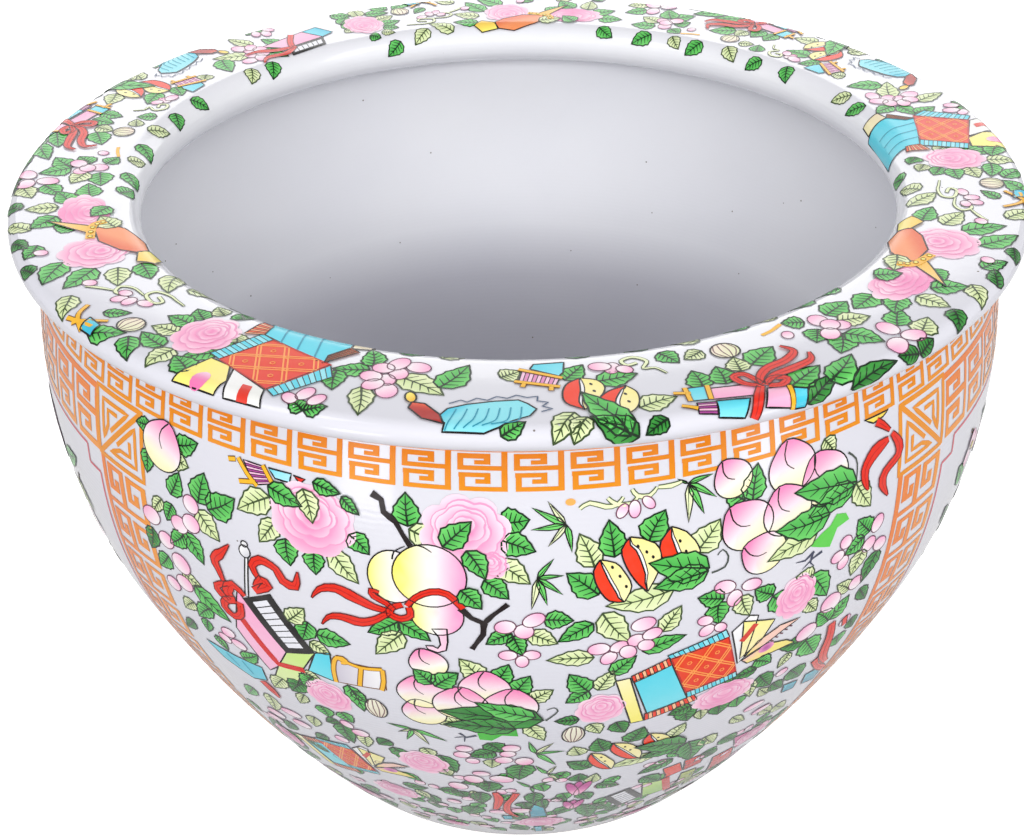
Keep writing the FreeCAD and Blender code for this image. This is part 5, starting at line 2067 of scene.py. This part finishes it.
    def draw_scrolls(self, area: Field) -> None:
        """The tied bundle of scrolls.

        Args:
            area: the field to draw in.
        """
        area.shapes(
            (3, TURQUOISE, PALE_TURQUOISE, (15.2, 18.6), (17.1, 18), (16.6, 10.6), (14.9, 11.4)),
            (3, WARM_PINK, PINK, (17.2, 16.4), (21.7, 13.6), (20.7, 7.8), (16.7, 10.4)),
        )
        area.stripes(3, (PURPLE, SOFT_PINK), 5, (15.2, 9.9), (14.9, 5.4), (16.5, 4.4), (16.9, 8.9))
        area.shapes(
            (4, TURQUOISE, PALE_TURQUOISE, (16.9, 9.1), (19.8, 7.2), (18.8, 1.8), (16.5, 3.4)),
            (4, WARM_PINK, PINK, (21.9, 9.8), (24, 8.2), (23.4, 1.2), (20.8, 3.4)),
            (4, TURQUOISE, MID_TURQUOISE, (24, 7.2), (25.2, 5.6), (24.6, 0.3), (23.4, 0.8)),
        )
        area.rods([
            [(13.8, 16.8), (15.3, 15.4)], [(13.8, 9.6), (15, 7.2)], [(15.1, 18.8), (14.8, 11.2)],
            [(17.2, 18), (16.6, 10.4)],
            [(23.8, 8.4), (23.3, 0.8)],
        ], 1.3, 6)
        area.ribbons((
            ([(19.6, 1), (20.4, 6), (21.6, 11.6)], (3, 3.2, 2.4)),
            ([(21.6, 11.6), (20.4, 15), (20.1, 19.4), (21.2, 19.6), (21.7, 15), (21.9, 12)],
             (1.6, 2.6, 2.4, 1.6)),
            ([(21.8, 12), (22.3, 16), (23.8, 19.6), (26.2, 21), (27.9, 24.4), (27.3, 29)], (2, 3, 3.4, 3, 1)),
            ([(22.2, 12), (23.6, 15), (26, 16), (28.2, 17.4), (29, 21.4)], (2, 3, 3.4, 3, 1)),
            ([(22, 11.6), (23.2, 14), (24.3, 12), (23.4, 9.6), (22.2, 10.8)], (2, 2.8, 2.4)),
        ), 9)

    def draw_books(self, area: Field) -> None:
        """The book wrap with its cards.

        Args:
            area: the field to draw in.
        """
        top = [(-31.4, 56.5), (-20.6, 56.5), (-18.9, 43), (-20.2, 31), (-29.2, 38.5), (-29.9, 44)]
        area.shape(top, (110, 214, 232), TURQUOISE, level=3)
        for shift in self.crease_shifts:
            crease = [(-28.6 + shift, 52), (-26.6 + shift, 36.5 - shift * self.crease_rise)]
            area.stroke(crease, 0.6, DEEP_TURQUOISE, 5)
        area.lattice(4, (-27.7, 37), (-19.4, 31), (-22.8, 11), (-29.9, 19))
        ribbed, stripe = (TURQUOISE, (150, 230, 242)), ((238, 90, 40), (255, 170, 120))
        area.stripes(4, ribbed, 11, (-29.5, 38.8), (-31.4, 20.4), (-29.9, 19), (-27.7, 37.2))
        area.stripes(4, ribbed, 11, (-19.5, 31), (-22.9, 11.2), (-21.7, 8.4), (-18.3, 24.6))
        area.stripes(5, stripe, 8, (-31.3, 45.5), (-31.3, 35.6), (-29.2, 38.4), (-29.6, 44.6))
        area.stripes(5, stripe, 8, (-20.3, 31.6), (-20.6, 36), (-19, 43), (-17.7, 41))
        area.shapes(
            (3, CREAM, (240, 224, 190), (-20, 54), (-17.4, 53), (-16.7, 44), (-19, 42.6)),
            (3, YELLOW, (255, 240, 150), (-31.6, 3.6), (-30.7, 18.4), (-28.2, 17.6), (-26.8, 10), (-27, 3.6)),
        )
        pen = area.pen(Kind.EMBLEMS, -29.1, 7, 0, 5)
        pen.fill(oval(2.8, 4, 0, 14), Tint((ROSE, PALE_PINK), (0, -1), (0, 4)))
        area.shapes((2, WHITE, (240, 240, 236), (-27.6, 16.8), (-26, 3.6), (-22.3, 3.6), (-23, 10.6)))
        area.patch([(-25.2, 10.6), (-24.2, 10.6), (-23.6, 3.8), (-24.7, 3.8)], (224, 56, 40), level=4)

    def draw_box(self, area: Field) -> None:
        """A pink box with its slots and red ribbons.

        Args:
            area: the field to draw in.
        """
        area.shapes(
            (4, PINK, SOFT_PINK, (-26, 33), (-18.4, 36), (-15.6, 27), (-24, 22)),
            (4, TURQUOISE, MID_TURQUOISE, (-26, 33), (-24, 22), (-26.8, 20), (-28.4, 30)),
        )
        area.slots(6, (-26, 33.4), (-25, 42.5), (-17.6, 45), (-18.4, 36.4), level=4)
        area.ribbons((([(-22, 22.5), (-20.4, 30), (-19.4, 36.6)], (3, 3)),), 7)
        area.ribbons((
            ([(-20, 37), (-17, 41.6), (-13.6, 40), (-11.8, 43.6)], (2, 3.6, 3.4, 0.8)),
            ([(-20, 37), (-16.6, 35.6), (-13.8, 31), (-11.6, 30.6)], (2, 3.6, 3.4, 0.8)),
        ), 8)


@dataclass(frozen=True)
class SidePicture:
    """A flowering branch with a bird, inside a frame. Places are azimuths off the middle, and heights."""

    leaves: tuple = (
        (GREEN,
        (-29, 150, -33, 164, 9), (-27, 166, -32, 176, 9), (-20, 196, -27, 204, 9), (-14, 206, -17, 220, 9),
        (-4, 214, 0, 204, 9), (4, 221, 10, 213, 9), (-30, 126, -25, 116, 9), (18, 196, 26, 204, 9),
        (20, 190, 28, 186, 9), (22, 178, 20, 166, 9), (29, 213, 34, 222, 8), (6, 126, 12, 137, 9),
        (16, 126, 23, 133, 9), (-8, 121, -14, 126, 8), (-22, 214, -27, 224, 8), (-33, 204, -35.5, 216, 8),
        (28, 154, 34, 156, 8),
        ),
        (DEEP,
        (-28, 134, -21, 128, 9), (2, 124, -5, 133, 9), (27, 140, 33, 148, 8), (-34, 186, -36, 197, 7),
        ),
        (PALE,
        (-24, 180, -30, 190, 9), (-12, 204, -5, 196, 9), (2, 222, 4, 233, 8), (13, 188, 8, 180, 8),
        (31, 206, 35, 198, 8), (20, 121, 28, 119, 8), (30, 160, 34, 170, 8),
        ),
    )
    berries: tuple = (
        (-19, 208, 5, 4, 100), (-16.4, 204, 5, 4, 10), (-19.6, 201, 5, 4, 250), (-22, 205, 5, 4, 180),
        (14, 222, 5, 4, 80), (16.6, 218, 5, 4, 0), (14, 214, 5, 4, 270), (11.6, 218, 5, 4, 180),
        (32, 190, 4.4, 3.6, 60), (33.6, 186, 4.4, 3.6, 330), (31.4, 184, 4.4, 3.6, 240),
        (-32, 222, 4.4, 3.6, 60), (-30.4, 218, 4.4, 3.6, 330), (-33, 216, 4.4, 3.6, 240),
    )
    peonies: tuple = (
        (-23.5, 156, 44, 42), (-8, 184, 34, 30), (22, 213, 36, 32), (12, 118, 38, 22), (32, 132, 22, 24),
    )
    branch_edge: float = 0.9
    leaf_level: float = 3.0
    flower_level: float = 6.0
    bird: tuple = (
        (-3.6, 166), (-1.4, 171), (2.2, 173), (5.4, 169), (9.6, 161), (14.6, 150), (19.4, 137), (17.2, 136),
        (11.6, 146), (6.6, 151), (1.6, 153), (-2, 158),
    )

    def draw(self, area: Field) -> None:
        """Draws the picture.

        Args:
            area: the field to draw in.
        """
        for places, widths in (
            ([(-33, 113), (-28, 128), (-26.6, 148), (-22, 172), (-17, 192), (-9, 206), (2, 218),
              (10, 232)], (6, 5, 4, 3, 1.5)),
            ([(-22, 172), (-12, 168), (0, 150), (14, 148), (25, 156), (33, 174)], (3.5, 3, 2.4, 1)),
            ([(-17, 192), (-27, 212), (-33, 228)], (2.4, 1.6, 0.8)),
            ([(-9, 206), (6, 204), (18, 196), (29, 198), (33, 212)], (2.4, 1.8, 0.8)),
            ([(-6, 113), (8, 122), (24, 122), (34, 138)], (3, 2.4, 1)),
        ):
            edges = tuple(width + self.branch_edge for width in widths)
            area.stroke(places, edges, BROWN, 0, kind=Kind.LEAVES)
            area.stroke(places, widths, BRANCH, 2, kind=Kind.LEAVES)
        area.leaves(self.leaves, self.leaf_level)
        area.peonies(self.peonies, self.flower_level)
        area.berries(self.berries, self.flower_level)
        for spot in ((-19, 204.6), (14, 218.2), (32.3, 187), (-31.8, 218.8)):
            area.disc(Kind.BERRIES, spot, (1.8, 1.8), Tint((YELLOW,)), 11, 10, 0, BROWN, 0.35)
        self.draw_bird(area)

    def draw_bird(self, area: Field) -> None:
        """A long-tailed bird on the middle branch.

        Args:
            area: the field to draw in.
        """
        area.shapes((6, (60, 150, 196), DEEP_TURQUOISE, (11, 156), (16, 146), (22, 132), (24.4, 121),
                     (20.6, 128), (15, 140), (10, 150)))
        area.shape(list(self.bird), (238, 150, 90), (250, 220, 150), level=8)
        area.shapes((10, (74, 178, 206), (40, 110, 170), (3, 169), (8, 165), (14, 152), (12.6, 150),
                     (7, 155), (3, 160)))
        for first, last in (((3.9, 165), (13.4, 151.35)), ((4.4, 163), (13.4, 151.1)),
                            ((4.9, 161), (13.4, 150.85))):
            area.stroke([first, last], 0.5, INK, 13)
        pen = area.pen(Kind.EMBLEMS, -1.2, 171.6, 0, 10)
        pen.shape(oval(6.6, 5.8, 20, 20), Tint(((210, 60, 52), (240, 160, 110)), (-3, 3), (4, -3)))
        pen.shape([(-6, 1.8), (-10.5, 0.2), (-5.8, -1.4)], Tint((GOLD,)))
        pen.shape(oval(1.4, 1.4, 0, 10, -2.2, 1.2), Tint((WHITE,)), 2)
        pen.fill(oval(0.7, 0.7, 0, 8, -2.2, 1.2), Tint((INK,)), 4)
        for leg in ([(2, 154), (1.6, 149), (0.4, 147.4)], [(5, 154), (4.6, 149), (3.4, 147.4)]):
            area.stroke(leg, 0.8, BROWN, 9)


@dataclass(frozen=True)
class KeyFret:
    """Key fret bands: the neck's strips and the two side frames."""

    neck_low: float = 270.3
    neck_high: float = 283.9
    neck_units: int = 72
    neck_shift: float = -1.2
    strips: int = 6
    frame_edge: float = 39.6
    frame_low: float = 79.2
    frame_high: float = 268.7
    frame_width: float = 26.6
    unit_length: float = 18.9
    swell_shares: Spot = (0.009, 0.017)
    frame_tones: tuple = ((240, 150, 40), (234, 124, 44))
    corner_line: float = 2.0
    hook_line: float = 1.7
    ring_share: float = 0.42
    core_share: float = 0.78
    hook_share: float = 0.3
    rose_colour: Colour = (214, 96, 110)
    rose_line: float = 1.2
    rose_gap: float = 2.6
    rose_inset: float = 0.8
    rose_notch: Spot = (2.4, 8.0)
    rose_span: float = 12.0
    bar_shares: tuple = (
        (0.9, 0.0, 1.0, 1.0), (0.14, 0.425, 0.9, 0.495), (0.12, 0.15, 0.21, 0.495), (0.12, 0.15, 0.69, 0.23),
        (0.59, 0.15, 0.69, 0.36), (0.42, 0.3, 0.69, 0.36), (0.15, 0.585, 0.24, 1.0),
        (0.14, 0.585, 0.69, 0.655),
        (0.6, 0.585, 0.69, 0.805), (0.44, 0.735, 0.69, 0.805), (0.15, 0.91, 1.0, 1.0), (0.0, 0.0, 1.0, 0.08),
    )

    def unit(self, sheet: Sheet, places: Way, tones: tuple[Colour, Colour]) -> None:
        """One unit of the fret in a four-cornered cell: low left, low right, high right, high left.

        Args:
            sheet: the fret's sheet.
            places: azimuths and heights.
            tones: its upper and lower colours.
        """
        pen = Pen(WALL, sheet, *places[0])
        corners = pen.spots(places)
        wide, high = self.swell_shares
        for x0, y0, x1, y1 in self.bar_shares:
            x0, x1 = max(0.0, x0 - wide), min(1.0, x1 + wide)
            y0, y1 = max(0.0, y0 - high), min(1.0, y1 + high)
            pen.fill(cell_part(corners, x0, 1 - y1, x1, 1 - y0), Tint(tones, corners[0], corners[3]))

    def build(self, material: Material) -> None:
        """Makes the neck's strips, the frames and their lines.

        Args:
            material: the enamel.
        """
        per_strip = self.neck_units // self.strips
        step = 360.0 / self.neck_units
        low, high = self.neck_low, self.neck_high
        for number in range(self.strips):
            sheet = Sheet(f"key_fret_{number + 1}", "fret_enamel", [f"neck_fret_strip_{number + 1}"])
            for i in range(per_strip):
                az = -number * 360.0 / self.strips + (i - per_strip / 2) * step + self.neck_shift
                self.unit(sheet, [(az, low), (az + step, low), (az + step, high), (az, high)],
                          (FRET, FRET_RED))
            sheet.make(material)
        for side, middle in (("right", 90.0), ("left", -90.0)):
            self.frame(side, middle, material)

    def frame(self, side: str, middle: float, material: Material) -> None:
        """Makes one side's fret frame and the line inside it.

        Args:
            side: right or left.
            middle: azimuth of the side's middle.
            material: the enamel.
        """
        sheet = Sheet(f"key_fret_frame_{side}", "fret_enamel", [f"fret_frame_{side}"])
        top, low, width = self.frame_high, self.frame_low, self.frame_width
        radius, _ = SECTION.belly.at_height(top)
        half = 90.0 - self.frame_edge
        inside = half - math.degrees(width / radius)
        count = round(math.radians(2 * inside) * radius / self.unit_length)
        step = 2 * inside / count
        for high_edge, low_edge in ((top, top - width), (low + width, low)):
            for i in range(count):
                az = middle - inside + i * step
                cell = [(az, low_edge), (az + step, low_edge), (az + step, high_edge), (az, high_edge)]
                self.unit(sheet, cell, self.frame_tones)
        rise = top - low - 2 * width
        count = round(rise / self.unit_length)
        for edge in (-1, 1):
            inner, outer = middle + edge * inside, middle + edge * half
            left, right = min(inner, outer), max(inner, outer)
            for i in range(count):
                high = top - width - i * rise / count
                foot = high - rise / count
                self.unit(sheet, [(right, high), (right, foot), (left, foot), (left, high)], self.frame_tones)
            for high, sign in ((top, 1), (low + width, -1)):
                self.corner(sheet, inner, outer, high, sign)
        sheet.make(material)
        self.inner_line(side, middle, inside, material)

    def corner(self, sheet: Sheet, inner: float, outer: float, high: float, sign: int) -> None:
        """A mitred corner: an outlined square with a diagonal and two hooks.

        Args:
            sheet: the fret's sheet.
            inner: azimuth of the inner edge.
            outer: azimuth of the outer edge.
            high: height of its upper edge.
            sign: 1 at the top, -1 at the foot.
        """
        foot = high - self.frame_width
        pen = Pen(WALL, sheet, (inner + outer) / 2, (high + foot) / 2)
        out_h, in_h = (high, foot) if sign > 0 else (foot, high)
        a, b, c, d = pen.spots([(inner, in_h), (outer, in_h), (outer, out_h), (inner, out_h)])
        pen.line([a, b, c, d], self.corner_line, FRET, 0, closed=True)
        pen.line([a, c], self.corner_line, FRET, 0)
        for side in (b, d):
            middle = ((a[0] + c[0] + side[0]) / 3, (a[1] + c[1] + side[1]) / 3)
            ring, core = (
                [blend_spot(spot, middle, share) for spot in (a, side, c)]
                for share in (self.ring_share, self.core_share)
            )
            hook = [blend_spot(ring[0], ring[2], self.hook_share), ring[2], ring[1], ring[0], *core]
            pen.line(hook, self.hook_line, FRET, 0)

    def inner_line(self, side: str, middle: float, half: float, material: Material) -> None:
        """The thin rose line inside a frame, stepped in at its corners.

        Args:
            side: right or left.
            middle: azimuth of the side's middle.
            half: degrees from the middle to the frame's inner edge.
            material: the enamel.
        """
        sheet = Sheet(f"rose_line_{side}", "line_enamel", [f"frame_line_{side}"])
        inset = self.frame_width + self.rose_gap
        low, high = self.frame_low + inset, self.frame_high - inset
        places = []
        for x, y in ((-1, -1), (1, -1), (1, 1), (-1, 1)):
            edge_h = high if y > 0 else low
            reach = middle + x * (half - self.rose_inset)
            across, down = reach - x * self.rose_notch[0], edge_h - y * self.rose_notch[1]
            near = [(across, edge_h), (across, down), (reach, down)]
            places += near if x * y < 0 else near[::-1]
        way = straight_way(places, self.rose_span, closed=True)
        for first, last in zip(way, way[1:] + way[:1]):
            pen = Pen(WALL, sheet, *first)
            pen.line([(0.0, 0.0), *pen.spots([last])], self.rose_line, self.rose_colour, 0)
        sheet.make(material)


@dataclass
class Studio:
    """Camera, lamps, floor and background."""

    lens: float = 45.17
    camera_y: float = -0.49736
    camera_z: float = 0.5135
    pitch_down: float = 31.94
    roll: float = -0.58
    shift_x: float = -0.0077
    shift_y: float = -0.0822
    fill: float = 0.45
    lamps: tuple = (
        ("left_lamp", (-0.85, -0.6, 1.3), (0.4, 0.8), 2.6, True),
        ("right_lamp", (1.0, -0.45, 1.24), (0.4, 0.8), 2.6, True),
        ("front_lamp", (0.0, -2.6, 1.41), (3.8, 0.57), 61.0, False),
        ("back_lamp", (0.0, 1.6, 0.8), (2.4, 0.8), 12.0, True),
        ("left_glow", (-0.42, -0.78, 0.1), (0.16, 0.3), 0.5, True),
        ("right_glow", (0.66, -0.62, 0.1), (0.2, 0.3), 0.6, True),
    )
    aim: tuple[float, float, float] = (0.0, 0.0, 0.2)
    floor_size: float = 6.0
    floor_glow: float = 0.55
    floor_seen: Colour = (0.9, 0.9, 0.9)
    floor_roughness: float = 0.9
    white: Colour = (1.0, 1.0, 1.0)
    floor_unseen: Colour = (0.3, 0.3, 0.3)

    def build(self) -> None:
        """Sets everything up."""
        scene = bpy.context.scene
        scene.view_settings.view_transform = "Standard"
        camera = bpy.data.objects.new("camera", bpy.data.cameras.new("camera"))
        scene.collection.objects.link(camera)
        scene.camera = camera
        camera.data.lens = self.lens
        camera.data.shift_x = self.shift_x
        camera.data.shift_y = self.shift_y
        camera.location = (0.0, self.camera_y, self.camera_z)
        camera.rotation_mode = "QUATERNION"
        pitch = Quaternion((1, 0, 0), math.radians(90.0 - self.pitch_down))
        camera.rotation_quaternion = pitch @ Quaternion((0, 0, 1), math.radians(self.roll))
        for name, place, size, power, mirrored in self.lamps:
            lamp = bpy.data.lights.new(name, "AREA")
            lamp.shape = "RECTANGLE"
            lamp.size, lamp.size_y = size
            lamp.energy = power
            item = bpy.data.objects.new(name, lamp)
            item.location = place
            item.rotation_euler = (Vector(self.aim) - Vector(place)).to_track_quat("-Z", "Y").to_euler()
            item.visible_glossy = mirrored
            scene.collection.objects.link(item)
        self.build_world(scene)
        self.build_floor()

    def build_world(self, scene: bpy.types.Scene) -> None:
        """An even fill, and plain white where the camera or a reflection sees past everything.

        Args:
            scene: the scene.
        """
        world = bpy.data.worlds.new("studio")
        scene.world = world
        graph = Graph(world)
        fill, plain = (
            graph.add("Background", "Background", {"Color": (*self.white, 1.0), "Strength": strength})
            for strength in (self.fill, 1.0)
        )
        blend = graph.add("MixShader", "Shader", {"Fac": graph.seen(), 1: fill, 2: plain})
        graph.feed(graph.nodes["World Output"], {"Surface": blend})

    def build_floor(self) -> None:
        """A white floor that keeps the bowl's shadow, and throws less light back than it shows."""
        deselect()
        bpy.ops.mesh.primitive_plane_add(size=self.floor_size, location=(0, 0, 0))
        floor = bpy.context.object
        floor.name = "studio_floor"
        material, graph, shader = new_material("studio_floor")
        camera = graph.add("LightPath", "Is Camera Ray")
        graph.feed(shader, {
            "Base Color": (*self.floor_seen, 1.0),
            "Roughness": self.floor_roughness,
            "Emission Color": (*self.white, 1.0),
            "Emission Strength": graph.add("Math", "Value", {0: camera, 1: self.floor_glow},
                                           operation="MULTIPLY"),
        })
        dark = graph.add("BsdfDiffuse", "BSDF", {"Color": (*self.floor_unseen, 1.0)})
        blend = graph.add("MixShader", "Shader", {"Fac": graph.seen(), 1: dark, 2: shader.outputs["BSDF"]})
        graph.feed(graph.nodes["Material Output"], {"Surface": blend})
        floor.data.materials.append(material)
        floor.select_set(False)


def main() -> None:
    """Builds everything in order."""
    logging.basicConfig(level=logging.INFO, format="%(name)s %(message)s")
    glaze = GlazeFinish().make()
    Vessel().build(glaze)
    for name, material in (("foot_ring", BiscuitFinish().make()), ("foot_slip_joint", glaze)):
        materials = frame["nodes"][name].data.materials
        materials.clear()
        materials.append(material)
    enamel = EnamelFinish().make()
    KeyFret().build(enamel)
    for label, spin in (("front", 0.0), ("back", 180.0)):
        ground = Field(label, WALL, f"flowered_ground_{label}", spin=spin)
        FlowerGround().draw(ground)
        ground.finish(enamel)
    rim = Field("rim", RimSurface(), "flowered_rim")
    third = RimGround()
    for spin in third.spins:
        rim.spin = spin
        third.draw(rim, spin >= 0.0)
    rim.finish(enamel)
    for label, spin in (("right", 90.0), ("left", -90.0)):
        picture = Field(f"picture_{label}", WALL, f"picture_{label}", "picture_enamel", spin)
        SidePicture().draw(picture)
        picture.finish(enamel)
    Studio().build()


if __name__ == "__main__":
    main()
